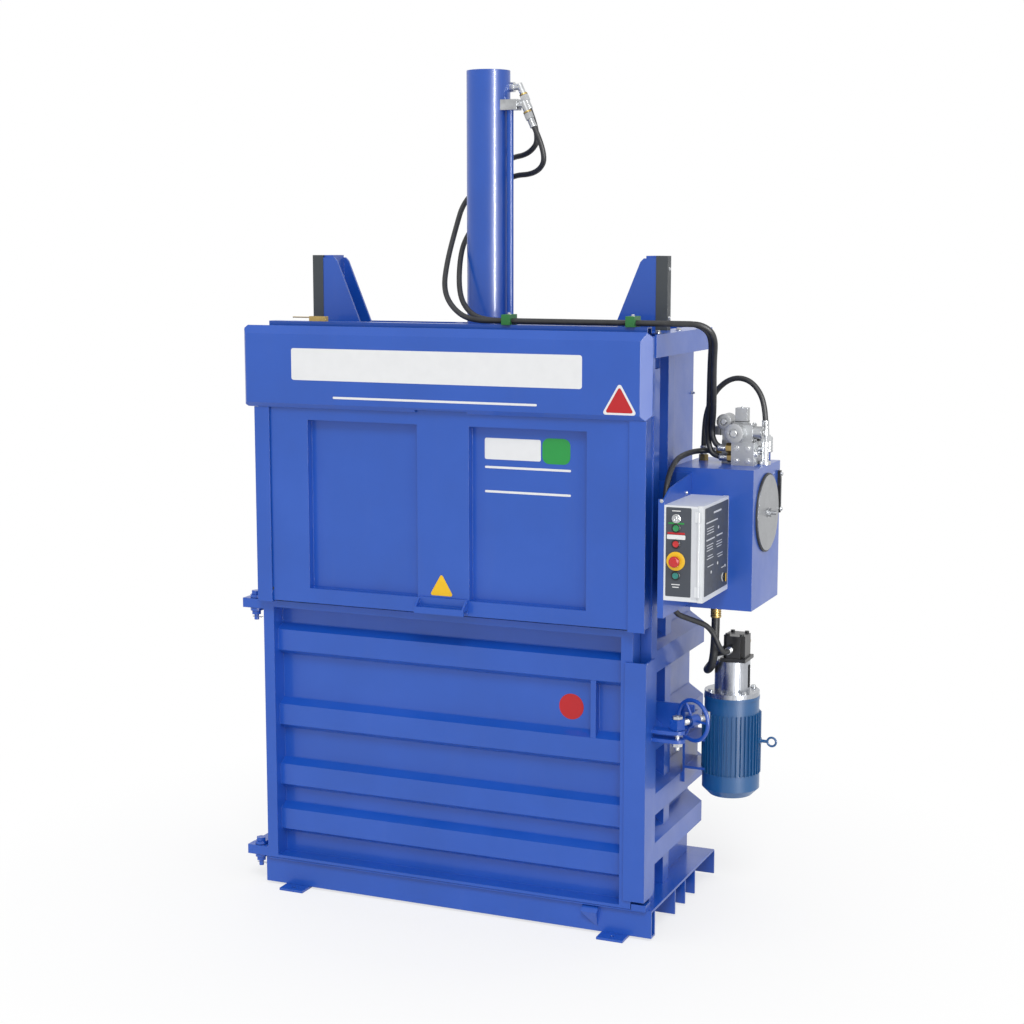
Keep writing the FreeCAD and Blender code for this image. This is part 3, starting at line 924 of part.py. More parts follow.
# ---------------------------------------------------------------- motor, bell housing, pump
MOTOR = ("motor_x", "motor_y")
FAN_TOP = "motor_low + fan_cover_h"
housing = turned("motor_shell", [
    ("shaft_d / 2 + bearing_play", f"{FAN_TOP} + 4"), ("motor_d / 2", f"{FAN_TOP} + 4"),
    ("motor_d / 2", "motor_top - end_ring_h"), ("end_ring_d / 2", "motor_top - end_ring_h"),
    ("end_ring_d / 2", "motor_top"), ("shaft_d / 2 + bearing_play", "motor_top"),
    ("shaft_d / 2 + bearing_play", "motor_top - shell_floor"), ("stator_d / 2", "motor_top - shell_floor"),
    ("stator_d / 2", f"{FAN_TOP} + 4 + shell_floor"),
    ("shaft_d / 2 + bearing_play", f"{FAN_TOP} + 4 + shell_floor")],
    "motor_x", "motor_y", "0")
fin_parts = []
for i in range(int(size("fins"))):
    fin = doc.addObject("Part::Box", f"motor_fin_{i}")
    bind(fin, "Length", "fin_h + 4")
    bind(fin, "Width", "fin_t")
    bind(fin, "Height", "fin_high - fin_low")
    angle = 360 * i / size("fins")
    reach = "(motor_d / 2 - 4)"
    place(fin, f"motor_x + {reach} * cos({angle} deg) + fin_t / 2 * sin({angle} deg)",
          f"motor_y + {reach} * sin({angle} deg) - fin_t / 2 * cos({angle} deg)", "fin_low",
          Rotation(Vector(0, 0, 1), angle))
    fin_parts.append(fin)
TERM_Y = "motor_y + motor_d / 2 - 8"
TERM_Z = ("eye_z - term_h / 2 - 5", "eye_z + term_h / 2 - 5")
terminal = box("terminal_box", ("motor_x - term_w / 2", "motor_x + term_w / 2"),
               (TERM_Y, f"{TERM_Y} + term_d + 10"), TERM_Z)
SHELL_X = "motor_x + motor_d / 2"
eye = ring("lifting_eye", "y", (f"{SHELL_X} + eye_out", "eye_z"), "motor_y", "2 * eye_r", "eye_d")
eye_shank = rod("eye_shank", "x", ("motor_y", "eye_z"), (f"{SHELL_X} - 8", f"{SHELL_X} + eye_out - eye_r"),
                "eye_shank_d")
eye_boss = rod("eye_boss", "x", ("motor_y", "eye_z"), (f"{SHELL_X} - 8", f"{SHELL_X} + fin_h + 4"), "eye_boss_d")
fan_cover = turned("fan_cowl", [
    ("motor_d / 2 + 6", FAN_TOP), ("motor_d / 2 + 6 - fan_cover_t", FAN_TOP),
    ("motor_d / 2 + 6 - fan_cover_t", "motor_low + fan_cover_round"),
    ("motor_d / 2 + 6 - fan_cover_round", "motor_low + fan_cover_t"), ("0", "motor_low + fan_cover_t"),
    ("0", "motor_low"), ("motor_d / 2 + 6 - fan_cover_round", "motor_low"),
    ("motor_d / 2 + 6", "motor_low + fan_cover_round"), ("motor_d / 2 + 6", "fin_low + 2"),
    ("motor_d / 2 - 1", "fin_low + 2"), ("motor_d / 2 - 1", FAN_TOP)], "motor_x", "motor_y", "0")
inlets = []
for i in range(int(size("inlets"))):
    angle = 360 * i / size("inlets")
    inlets.append(rod(f"fan_inlet_{i}", "z", (f"motor_x + fan_d / 4 * cos({angle} deg)",
                                              f"motor_y + fan_d / 4 * sin({angle} deg)"),
                      ("motor_low - 1", "motor_low + fan_cover_t + 1"), "inlet_d"))
motor_housing = cut("motor_housing", fuse("motor_whole", housing, *fin_parts, terminal, eye, eye_shank,
                                          eye_boss, fan_cover), *inlets)

BELL_R = "bell_d / 2"
bell_turned = turned("bell_turned", [
    (f"{BELL_R} - bell_t", "motor_top"), (f"{BELL_R} + bell_rim", "motor_top"),
    (f"{BELL_R} + bell_rim", "motor_top + bell_rim_h"), (BELL_R, "motor_top + bell_rim_h"),
    (BELL_R, "bell_top"), ("shaft_d / 2 + 6", "bell_top"),
    ("shaft_d / 2 + 6", "bell_top - bell_t"), (f"{BELL_R} - bell_t", "bell_top - bell_t")],
    "motor_x", "motor_y", "0")
bell_slot = box("bell_slot", ("motor_x", "motor_x + bell_d"),
                ("motor_y - bell_slot_w / 2", "motor_y + bell_slot_w / 2"),
                ("bell_top - 2 * bell_t - bell_slot_h", "bell_top - 2 * bell_t"))
bell_housing = cut("bell_housing", bell_turned, bell_slot)

pump_plate = box("pump_plate", ("pump_x - pump_w / 2 - 8", "pump_x + pump_w / 2 + 8"),
                 ("motor_y - pump_d / 2 - 6", "motor_y + pump_d / 2 + 6"), ("bell_top", "bell_top + pump_plate_h"))
pump_mid = box("pump_body", ("pump_x - pump_w / 2", "pump_x + pump_w / 2"),
               ("motor_y - pump_d / 2 + pump_round", "motor_y + pump_d / 2 - pump_round"),
               ("bell_top + pump_plate_h", "pump_top"))
pump_core = box("pump_core", ("pump_x - pump_w / 2 + pump_round", "pump_x + pump_w / 2 - pump_round"),
                ("motor_y - pump_d / 2", "motor_y + pump_d / 2"), ("bell_top + pump_plate_h", "pump_top"))
PUMP_Z = "bell_top + pump_plate_h + port_up"
supply_nut = hexagon("pump_supply_nut", "y", ("pump_x - port_left", PUMP_Z),
                     ("motor_y - pump_d / 2 - port_out", "motor_y - pump_d / 2 + 1"), "port_af")
suction_nut = hexagon("pump_suction_nut", "y", ("pump_x", PUMP_Z),
                      ("motor_y + pump_d / 2 - 1", "motor_y + pump_d / 2 + port_out"), "suction_af")
pump_bolts = [hexagon(f"pump_bolt_{i}", "z", (f"pump_x {dx} pump_w / 3", f"motor_y {dy} pump_d / 3"),
                      ("pump_top - 1", "pump_top + 8"), "16")
              for i, (dx, dy) in enumerate((("-", "-"), ("+", "-"), ("-", "+"), ("+", "+")))]
pump_bore = rod("pump_bore", "z", MOTOR, ("bell_top - 1", "bell_top + 30"), "shaft_d + 2 * bearing_play")
pump_whole = fuse("pump_whole", pump_plate, pump_mid, pump_core, supply_nut, suction_nut, *pump_bolts)
gear_pump = cut("gear_pump", pump_whole, pump_bore)

shaft = rod("rotor_shaft", "z", MOTOR, ("motor_low + fan_cover_t + 12", "bell_top + 24"), "shaft_d")
core = rod("rotor_core", "z", MOTOR, (f"{FAN_TOP} + 8 + shell_floor", "motor_top - shell_floor - 4"), "rotor_d")
coupling = rod("rotor_coupling", "z", MOTOR, ("motor_top + 20", "bell_top - bell_t - 10"), "coupling_d")
fan_disc = rod("fan_disc", "z", MOTOR, ("motor_low + 26", "motor_low + 26 + fan_t"), "fan_d - 60")
fan_hub = rod("fan_hub", "z", MOTOR, ("motor_low + 26", "motor_low + 26 + blade_h"), "2 * shaft_d")
blades = []
for i in range(int(size("blades"))):
    angle = 360 * i / size("blades")
    blade = doc.addObject("Part::Box", f"fan_blade_{i}")
    bind(blade, "Length", "fan_d / 2 - shaft_d")
    bind(blade, "Width", "blade_t")
    bind(blade, "Height", "blade_h")
    place(blade, f"motor_x + shaft_d * 0.8 * cos({angle} deg) + blade_t / 2 * sin({angle} deg)",
          f"motor_y + shaft_d * 0.8 * sin({angle} deg) - blade_t / 2 * cos({angle} deg)",
          "motor_low + 26 + fan_t - 1",
          Rotation(Vector(0, 0, 1), angle))
    blades.append(blade)
motor_rotor = fuse("motor_rotor", shaft, core, coupling, fan_disc, fan_hub, *blades)

BRACKET_Y = ("motor_y - bracket_w / 2", "motor_y + bracket_w / 2")
back_plate = box("bracket_plate", ("rib_out", "rib_out + arm_t"), BRACKET_Y, ("rib_second", "rib_third"))
arms = [box(f"bracket_arm_{i}", ("rib_out", "motor_x - 60"), BRACKET_Y, (z, f"{z} + arm_t"))
        for i, z in enumerate(("bracket_low + 12", "bracket_high"))]
motor_room = rod("bracket_motor_room", "z", MOTOR, ("motor_low", "motor_top"), "motor_d + 2 * fin_h + 0.2")
motor_bracket = cut("motor_bracket", fuse("bracket_whole", back_plate, *arms), motor_room)

# ---------------------------------------------------------------- operator's arm and control box
arm_plate = plate("arm_plate", "yz", [
    ("panel_face", "arm_low"), ("tank_front", "arm_low"), ("tank_front", "tank_top - 20"),
    ("panel_face + arm_slope", "arm_front_top"), ("panel_face", "arm_front_top - arm_slope / 2")],
    ("panel_arm_x - panel_arm_t", "panel_arm_x"))
arm_front = box("arm_front", ("panel_arm_x - arm_flange", "panel_arm_x"),
                ("panel_face", "panel_face + panel_arm_t"), ("arm_low", "arm_front_top - arm_slope / 2"))
arm_foot = box("arm_foot", ("panel_arm_x - arm_flange", "panel_arm_x"), ("panel_face", "tank_front"),
               ("arm_low", "arm_low + panel_arm_t"))
arm_end = box("arm_end", ("panel_arm_x - arm_flange - 40", "panel_arm_x"),
              ("tank_front - panel_arm_t", "tank_front"), ("arm_low", "tank_top - 20"))
control_arm = fuse("control_arm", arm_plate, arm_front, arm_foot, arm_end)

CASE_Z = ("case_low", "case_top")
CASE_Y = ("panel_face", "case_rear")
case_outer = box("case_outer", ("panel_arm_x", "case_out"), CASE_Y, CASE_Z)
case_inner = box("case_inner", ("panel_arm_x + case_t", "case_out + 1"),
                 ("panel_face + case_t", "case_rear - case_t"), ("case_low + case_t", "case_top - case_t"))
buttons = {"key_switch": ("key_z", "bezel_d"), "start_button": ("start_z", "bezel_d"),
           "stop_button": ("halt_z", "bezel_d"), "emergency_button": ("emergency_z", "collar_d"),
           "reset_button": ("second_z", "bezel_d")}
LID_PIN = ("case_out + lid_gap + lid_hinge_r", "panel_face - lid_hinge_r")
case_parts = [cut("case_shell", case_outer, case_inner),
              rod("lid_pin", "z", LID_PIN, ("case_low + knuckle_l / 2", "case_top - knuckle_l / 2"), "lid_pin_d")]
for i, low in enumerate(("case_low + knuckle_l / 2", "case_top - 1.5 * knuckle_l")):
    span = (low, f"{low} + knuckle_l")
    case_parts.append(rod(f"case_knuckle_{i}", "z", LID_PIN, span, "2 * lid_hinge_r"))
    case_parts.append(box(f"case_hinge_leaf_{i}", ("case_out - 2 * lid_hinge_r", LID_PIN[0]),
                          (LID_PIN[1], "panel_face"), span))
panel_holes = []
for word, (level, across) in buttons.items():
    at = ("panel_x", level)
    case_parts.append(rod(f"{word}_collar", "y", at, ("panel_face - 4", "panel_face + case_t"), across))
    bore = "button_d + 2 * button_play" if word != "emergency_button" else "0.6 * stop_d + 2 * button_play"
    panel_holes.append(rod(f"{word}_hole", "y", at, ("panel_face - 9", "panel_face + case_t + 9"), bore))
control_box = cut("control_box", fuse("control_box_whole", *case_parts), *panel_holes)

lid = box("lid_sheet", ("case_out + lid_gap", "lid_out"), ("panel_face + 2", "case_rear - 2"),
          ("case_low - 2", "case_top + 2"))
lid_hollow = box("lid_hollow", ("case_out - 1", "lid_out - case_t"), ("panel_face + 6", "case_rear - 6"),
                 ("case_low + 2", "case_top - 2"))
lock_hole = rod("lid_lock_hole", "x", ("lock_y", "lock_z"), ("case_out", "lid_out + 1"),
                "lock_d + 2 * button_play")
KNUCKLE_Z = ("case_low + 1.5 * knuckle_l + knuckle_gap", "case_top - 1.5 * knuckle_l - knuckle_gap")
lid_knuckle = rod("lid_knuckle", "z", LID_PIN, KNUCKLE_Z, "2 * lid_hinge_r")
lid_leaf = box("lid_leaf", (f"{LID_PIN[0]} - 0.8 * lid_hinge_r", f"{LID_PIN[0]} + lid_hinge_r"),
               (LID_PIN[1], "panel_face + 4"), KNUCKLE_Z)
pin_hole = rod("lid_pin_hole", "z", LID_PIN, KNUCKLE_Z, "lid_pin_d + 2 * pin_fit")
lid_shell = cut("lid_shell", lid, lid_hollow, lock_hole)
control_lid = cut("control_lid", fuse("lid_whole", lid_shell, lid_knuckle, lid_leaf), pin_hole)
lock_body = rod("lock_body", "x", ("lock_y", "lock_z"), ("lid_out - case_t - 12", "lid_out + 6"), "lock_d")
lock_lever = box("lock_lever", ("lid_out + 5", "lid_out + 13"), ("lock_y - 5", "lock_y + 5"),
                 ("lock_z - 17", "lock_z + 17"))
lock_cam = box("lock_cam", ("lid_out - case_t - 16", "lid_out - case_t - 11"), ("lock_y - 8", "lock_y + 8"),
               ("lock_z - 8", "lock_z + 26"))
lid_lock = fuse("lid_lock", lock_body, lock_lever, lock_cam)

controls = {}
for word, (level, across) in buttons.items():
    at = ("panel_x", level)
    if word == "emergency_button":
        stem = rod("emergency_stem", "y", at, ("panel_face - 12", "panel_face + 10"), "0.6 * stop_d")
        cap = rod("emergency_cap", "y", at, ("panel_face - 12 - stop_l", "panel_face - 11"), "stop_d")
        controls[word] = fuse(word, stem, cap)
    elif word == "key_switch":
        barrel = rod("key_barrel", "y", at, ("panel_face - 8", "panel_face + 10"), "button_d")
        key = box("key_grip", ("panel_x - 1.5", "panel_x + 1.5"), ("panel_face - 30", "panel_face - 7"),
                  ("key_z - 9", "key_z + 9"))
        controls[word] = fuse(word, barrel, key)
    else:
        controls[word] = rod(word, "y", at, ("panel_face - button_l", "panel_face + 10"), "button_d")

# ---------------------------------------------------------------- limit switch on the header
SWITCH_Y = "-header_front + header_d / 2"
limit_switch = fuse("limit_switch",
                    box("switch_body", ("-switch_left", "-switch_right"),
                        (f"{SWITCH_Y} - switch_w / 2", f"{SWITCH_Y} + switch_w / 2"),
                        ("header_top", "header_top + switch_h")),
                    rod("switch_feeler", "x", (SWITCH_Y, "header_top + feeler_up"),
                        ("-feeler_end", "1 - switch_left"), "feeler_d"))

# ---------------------------------------------------------------- hoses with the clamps on the header
doc.recompute()
HOSE_Z = size("hose_z")
FRONT_RUN = -size("hose_front")
BACK_RUN = -size("hose_back")
PORT_IN = size("block_x") + size("port_step_x") - size("fitting_l")
DROP_X = size("block_x") - size("fitting_l")
EXTEND_Y = size("block_front") + size("extend_in")
EXTEND_Z = size("block_top") - size("extend_down")
RETRACT_Y = size("block_front") + size("retract_in")
RETRACT_Z = size("block_top") - size("retract_down")
SUPPLY_Y = size("block_front") + size("supply_in")
SUPPLY_Z = size("block_top") - size("supply_down")


def leg_end(x, y, z, reach):
    """Point reached from a corner along its leaning leg."""
    lean = math.radians(size("lean"))
    return (x + reach * math.sin(lean), y, z - reach * math.cos(lean))


def climb(points):
    """Points of the rise from the header to the cylinder's elbow, their height given as a share of it."""
    return [(x, y, HOSE_Z + share * (size("elbow_z") - HOSE_Z)) for x, y, share in points]


def fall(points):
    """Points of the drop from the header to the valve block, their height given as a share of it."""
    return [(DROP_X + x, y, SUPPLY_Z + share * (HOSE_Z - SUPPLY_Z)) for x, y, share in points]


LEG_L = size("elbow_leg")
ELBOW_AT = (size("elbow_x"), 0, size("elbow_z"))
KNEE_AT = (size("knee_x"), size("ram_y") + size("pipe_back"), size("port_block_z") + size("port_block_h") / 2)
extend_route = [
    (PORT_IN, EXTEND_Y, EXTEND_Z), (DROP_X + 19, EXTEND_Y, EXTEND_Z), (DROP_X - 4, EXTEND_Y, EXTEND_Z + 42),
    *fall([(-2, -22, 0.2), (21, -80, 0.335), (60, -220, 0.692), (106, -350, 0.919)]),
    (DROP_X + 64, FRONT_RUN, HOSE_Z), (80, FRONT_RUN, HOSE_Z),
    *climb([(-34, -300, 0.044), (-113, -220, 0.122), (-144, -120, 0.242), (-159, 0, 0.393), (-168, 100, 0.514),
            (-71, 150, 0.617), (90, 110, 0.705)]),
    leg_end(*ELBOW_AT, LEG_L + 160), leg_end(*ELBOW_AT, LEG_L)]
retract_route = [
    (PORT_IN, RETRACT_Y, RETRACT_Z), (DROP_X - 1, RETRACT_Y, RETRACT_Z), (DROP_X - 24, RETRACT_Y, RETRACT_Z + 42),
    *fall([(-27, -4, 0.2), (-5, -60, 0.335), (37, -192, 0.692), (84, -326, 0.919)]),
    (DROP_X + 40, BACK_RUN, HOSE_Z), (140, BACK_RUN, HOSE_Z),
    *climb([(24, -268, 0.024), (-60, -190, 0.104), (-108, -70, 0.277), (-130, 60, 0.371), (-67, 150, 0.504),
            (110, 90, 0.607)]),
    leg_end(*KNEE_AT, LEG_L + 172), leg_end(*KNEE_AT, LEG_L)]

TANK_TOP = size("tank_top")
TANK_LOW = size("tank_low")
TANK_FRONT = size("tank_front")
RISER_AT = (size("riser_x"), size("riser_y"))
RETURN_AT = (size("return_x"), size("return_y"))
return_route = [(*RISER_AT, TANK_TOP + size("riser_h"))]
for across, up in ((0, 0.688), (0.2, 0.942), (0.5, 1), (0.79, 0.86), (0.96, 0.6), (1, 0.324)):
    x, y = (start + across * (end - start) for start, end in zip(RISER_AT, RETURN_AT))
    return_route.append((x, y, TANK_TOP + up * size("return_rise")))
return_route.append((*RETURN_AT, TANK_TOP + size("fitting_l")))

PORT_Z = size("bell_top") + size("pump_plate_h") + size("port_up")
PUMP_FRONT = size("motor_y") - size("pump_d") / 2 - size("port_out")
PUMP_BACK = size("motor_y") + size("pump_d") / 2 + size("port_out")
PORT_LINE = size("pump_x") - size("port_left")
HOSE_SIDE = size("tank_in") + 18
supply_route = [
    (size("block_x") - size("fitting_l"), SUPPLY_Y, SUPPLY_Z), (HOSE_SIDE + 46, SUPPLY_Y, SUPPLY_Z),
    (HOSE_SIDE + 4, SUPPLY_Y - 86, SUPPLY_Z - 2), (HOSE_SIDE, TANK_FRONT - 60, TANK_TOP + 30),
    (HOSE_SIDE, TANK_FRONT - 212, TANK_TOP - 60), (HOSE_SIDE, TANK_FRONT - 185, TANK_LOW + 250),
    (HOSE_SIDE, TANK_FRONT - 80, TANK_LOW - 10), (HOSE_SIDE + 50, TANK_FRONT + 50, TANK_LOW - 78),
    (HOSE_SIDE + 92, TANK_FRONT + 130, TANK_LOW - 122), (PORT_LINE - 17, PUMP_FRONT - 82, PORT_Z - 6),
    (PORT_LINE, PUMP_FRONT - 36, PORT_Z), (PORT_LINE, PUMP_FRONT, PORT_Z)]
SUCTION_X = size("suction_x")
SUCTION_Y = size("suction_y")
BELL_SIDE = size("motor_x") - size("bell_d") / 2 - 40
suction_route = [
    (SUCTION_X, SUCTION_Y, TANK_LOW - size("fitting_l")), (SUCTION_X, SUCTION_Y, PORT_Z + 62),
    (BELL_SIDE, SUCTION_Y + 16, PORT_Z - 60), (BELL_SIDE - 6, SUCTION_Y + 160, PORT_Z - 98),
    (BELL_SIDE + 34, PUMP_BACK + 75, PORT_Z - 63), (size("pump_x"), PUMP_BACK + 93, PORT_Z),
    (size("pump_x"), PUMP_BACK, PORT_Z)]
hose_extend = tube("hose_extend", extend_route, size("hose_d"), size("hose_bore"))
hose_retract = tube("hose_retract", retract_route, size("hose_d"), size("hose_bore"))
return_hose = tube("return_hose", return_route, size("hose_d"), size("hose_bore"))
pressure_hose = tube("pressure_hose", supply_route, size("hose_d"), size("hose_bore"))
suction_hose = tube("suction_hose", suction_route, size("suction_d"), size("suction_bore"))

clamps = []
CLAMP_Y = "-(hose_front + hose_back) / 2"
for name in ("clamp_right", "clamp_left"):
    base = box(f"{name}_base", (f"{name} - clamp_w / 2", f"{name} + clamp_w / 2"),
               (f"{CLAMP_Y} - clamp_d / 2", f"{CLAMP_Y} + clamp_d / 2"), ("header_top", "header_top + clamp_h"))
    bores = [rod(f"{name}_{line}_bore", "x", (f"-{line}", "hose_z"), (f"{name} - clamp_w", f"{name} + clamp_w"),
                 "hose_d") for line in ("hose_front", "hose_back")]
    clamps.append(cut(f"{name}_block", base, *bores))
hose_clamps = group("hose_clamps", *clamps)

# ---------------------------------------------------------------- check and write every sub-part
NODES = [
    "floor_deck", "front_sill", "foot_plates", "left_side_wall", "right_side_wall", "rear_wall",
    "left_front_post", "right_front_post", "door_hinge_pins", "door_panel", "door_latch_channel",
    "latch_pivot_bolt", "swing_screw", "handwheel", "draw_bolt", "latch_keeper", "gate_panel", "gate_handle",
    "front_hood", "header_beam", "left_top_rail", "right_top_rail", "cylinder_barrel",
    "piston_rod", "cylinder_crosshead", "platen", "left_tower",
    "right_tower", "guide_pads", "rod_supply_pipe", "extend_elbow", "oil_tank", "cover_gasket",
    "tank_cover", "oil_level_gauge", "valve_manifold", "solenoid_valves", "hose_fittings",
    "return_fitting", "motor_housing", "bell_housing", "gear_pump",
    "motor_rotor", "motor_bracket", "control_arm", "control_box", "control_lid", "lid_lock", "key_switch",
    "start_button", "stop_button", "reset_button", "emergency_button", "limit_switch", "hose_extend",
    "hose_retract", "return_hose", "pressure_hose", "suction_hose", "hose_clamps",
]
doc.recompute()
for thing in doc.Objects:
    if "Invalid" in thing.State or "Error" in thing.State:
        raise RuntimeError(f"{thing.Name} did not come out: {thing.State}")
for name in NODES:
    shape = doc.getObject(name).Shape
    if shape.isNull() or not shape.isValid() or not shape.Solids:
        raise RuntimeError(f"{name} is not a sound solid")
os.makedirs("parts", exist_ok=True)
for name in NODES:
    part = doc.getObject(name)
    part.Label = name
    part.Shape.exportStep(f"parts/{name}.step")
print(len(NODES), "sub-parts written")
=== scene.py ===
"""Looks of the recycling baler: materials, welds, bolts, hoses, blank plates, light and camera."""
import json
import math

import bmesh
import bpy
from mathutils import Matrix, Vector


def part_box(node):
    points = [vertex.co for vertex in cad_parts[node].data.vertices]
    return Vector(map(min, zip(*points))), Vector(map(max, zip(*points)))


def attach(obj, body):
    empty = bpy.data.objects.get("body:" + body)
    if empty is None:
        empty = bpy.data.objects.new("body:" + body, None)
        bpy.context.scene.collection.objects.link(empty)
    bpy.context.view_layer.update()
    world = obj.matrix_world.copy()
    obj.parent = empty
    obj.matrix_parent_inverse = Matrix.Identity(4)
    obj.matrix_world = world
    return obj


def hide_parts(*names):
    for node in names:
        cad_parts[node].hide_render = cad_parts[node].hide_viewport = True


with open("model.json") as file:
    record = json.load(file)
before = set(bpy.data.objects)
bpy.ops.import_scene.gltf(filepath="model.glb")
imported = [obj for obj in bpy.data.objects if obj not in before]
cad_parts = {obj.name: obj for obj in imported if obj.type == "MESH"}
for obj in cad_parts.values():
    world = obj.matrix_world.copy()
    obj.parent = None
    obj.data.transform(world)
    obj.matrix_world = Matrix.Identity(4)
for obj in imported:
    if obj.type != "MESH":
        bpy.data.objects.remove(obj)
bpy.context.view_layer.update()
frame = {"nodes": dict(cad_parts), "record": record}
NODES = frame["nodes"]
SLOTS = {item["node"]: item["material_slot"] for item in frame["record"]["subparts"]}
MM = 0.001
LOW = {name: Vector(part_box(name)[0]) / MM for name in NODES}
HIGH = {name: Vector(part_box(name)[1]) / MM for name in NODES}
MIDDLE = {name: (LOW[name] + HIGH[name]) / 2 for name in NODES}
RIGHT, LEFT, BACK = (1, 0, 0), (-1, 0, 0), (0, 1, 0)
FRONT, UP, DOWN = (0, -1, 0), (0, 0, 1), (0, 0, -1)


# ---------------------------------------------------------------- materials
def linear(colour):
    """Screen colour of 0..255 to the renderer's linear values."""
    def channel(value):
        value /= 255
        return value / 12.92 if value <= 0.04045 else ((value + 0.055) / 1.055) ** 2.4
    return (*[channel(value) for value in colour], 1)


def shade(colour, gain, lift=0.0):
    """A linear colour made darker or lighter."""
    return (*[min(1, value * gain + lift) for value in colour[:3]], 1)


class Graph:
    """Short names for building a material's nodes."""

    def __init__(self, name):
        self.material = bpy.data.materials.new(name)
        self.material.use_nodes = True
        self.tree = self.material.node_tree
        self.shader = self.tree.nodes["Principled BSDF"]
        self.place = self.add("ShaderNodeTexCoord").outputs["Object"]

    def add(self, kind, **values):
        node = self.tree.nodes.new(kind)
        for key, value in values.items():
            setattr(node, key, value)
        return node

    def wire(self, start, end):
        self.tree.links.new(start, end)

    def feed(self, socket, value):
        """Wire a socket or set its plain value."""
        if isinstance(value, bpy.types.NodeSocket):
            self.wire(value, socket)
        else:
            socket.default_value = value

    def noise(self, scale, detail=4, rough=0.55, stretch=(1, 1, 1)):
        mapping = self.add("ShaderNodeMapping")
        mapping.inputs["Scale"].default_value = stretch
        self.wire(self.place, mapping.inputs["Vector"])
        node = self.add("ShaderNodeTexNoise")
        for key, value in (("Scale", scale), ("Detail", detail), ("Roughness", rough),
                           ("Vector", mapping.outputs["Vector"])):
            self.feed(node.inputs[key], value)
        return node.outputs["Fac"]

    def steps(self, source, stops):
        ramp = self.add("ShaderNodeValToRGB")
        line = ramp.color_ramp
        line.elements[0].position, line.elements[0].color = stops[0]
        line.elements[1].position, line.elements[1].color = stops[-1]
        for place, colour in stops[1:-1]:
            line.elements.new(place).color = colour
        self.wire(source, ramp.inputs["Fac"])
        return ramp.outputs["Color"]

    def span(self, source, start, end, to_start, to_end):
        node = self.add("ShaderNodeMapRange")
        for key, value in (("Value", source), ("From Min", start), ("From Max", end),
                           ("To Min", to_start), ("To Max", to_end)):
            self.feed(node.inputs[key], value)
        return node.outputs["Result"]

    def mix(self, factor, first, second):
        node = self.add("ShaderNodeMix", data_type="RGBA")
        for socket, value in zip((node.inputs[0], node.inputs[6], node.inputs[7]),
                                 (factor, first, second)):
            self.feed(socket, value)
        return node.outputs[2]

    def math(self, operation, first, second):
        node = self.add("ShaderNodeMath", operation=operation)
        for socket, value in zip(node.inputs, (first, second)):
            self.feed(socket, value)
        return node.outputs[0]

    def distance(self, stretch, start=(0, 0, 0)):
        """Length of the way from a point, counted along the axes that stretch keeps."""
        mapping = self.add("ShaderNodeMapping")
        mapping.inputs["Scale"].default_value = stretch
        mapping.inputs["Location"].default_value = [-a * b for a, b in zip(start, stretch)]
        self.wire(self.place, mapping.inputs["Vector"])
        node = self.add("ShaderNodeVectorMath", operation="LENGTH")
        self.wire(mapping.outputs["Vector"], node.inputs[0])
        return node.outputs["Value"]

    def rounding(self, radius):
        node = self.add("ShaderNodeBevel", samples=4)
        node.inputs["Radius"].default_value = radius
        return node.outputs["Normal"]

    def edges(self, rounded):
        """How far the rounded normal leaves the flat one: high along edges."""
        flat = self.add("ShaderNodeNewGeometry").outputs["Normal"]
        node = self.add("ShaderNodeVectorMath", operation="DOT_PRODUCT")
        self.wire(rounded, node.inputs[0])
        self.wire(flat, node.inputs[1])
        return self.span(node.outputs["Value"], 0.995, 0.86, 0.0, 1.0)

    def bump(self, height, strength, distance, normal=None):
        node = self.add("ShaderNodeBump")
        for key, value in (("Strength", strength), ("Distance", distance), ("Height", height)):
            self.feed(node.inputs[key], value)
        if normal is not None:
            self.wire(normal, node.inputs["Normal"])
        return node.outputs["Normal"]

    def finish(self, colour, rough, normal, **sockets):
        for key, value in (("Base Color", colour), ("Roughness", rough), ("Normal", normal)):
            self.feed(self.shader.inputs[key], value)
        for key, value in sockets.items():
            self.feed(self.shader.inputs[key.replace("_", " ")], value)
        return self.material


PLATING_DARK, PLATING_LIGHT = (158, 160, 162), (196, 198, 200)
PLATED = 0.96
PEEL_DEPTH, FINE_DEPTH = 0.0006, 0.0003
COAT = {"Coat_Weight": 0.3, "Coat_Roughness": 0.08}


def enamel(name, colour, rough=0.36, wear=0.35, dust=0.10, peel=0.08, radius=0.0025, bare=None):
    """Sprayed paint with orange peel, clouds, dust and worn edges; bare gives its plated part."""
    g = Graph(name)
    base = linear(colour)
    tones = [(0.32, shade(base, 0.92)), (0.52, base), (0.72, shade(base, 1.06, 0.004))]
    cloud = g.steps(g.noise(2.3, 5), tones)
    streaks = g.span(g.noise(9, 5, 0.7, (1, 1, 0.12)), 0.55, 0.8, 0.0, dust)
    dusty = g.mix(streaks, cloud, shade(base, 0.75, 0.06))
    rounded = g.rounding(radius)
    chips = g.math("MULTIPLY", g.edges(rounded), g.span(g.noise(46, 6, 0.7), 0.47, 0.62, 0.0, wear))
    tone = g.mix(chips, dusty, shade(base, 0.85, 0.05))
    gloss = g.span(g.noise(6.5, 4), 0.3, 0.75, rough - 0.05, rough + 0.08)
    normal = g.bump(g.noise(420, 2, 0.5), peel, PEEL_DEPTH, rounded)
    if not bare:
        return g.finish(tone, gloss, normal, **COAT)
    share = bare(g)
    plating = g.steps(g.noise(14, 6, 0.65),
                      [(0.34, linear(PLATING_DARK)), (0.66, linear(PLATING_LIGHT))])
    return g.finish(g.mix(share, tone, plating), gloss, normal,
                    Metallic=g.math("MULTIPLY", share, PLATED))


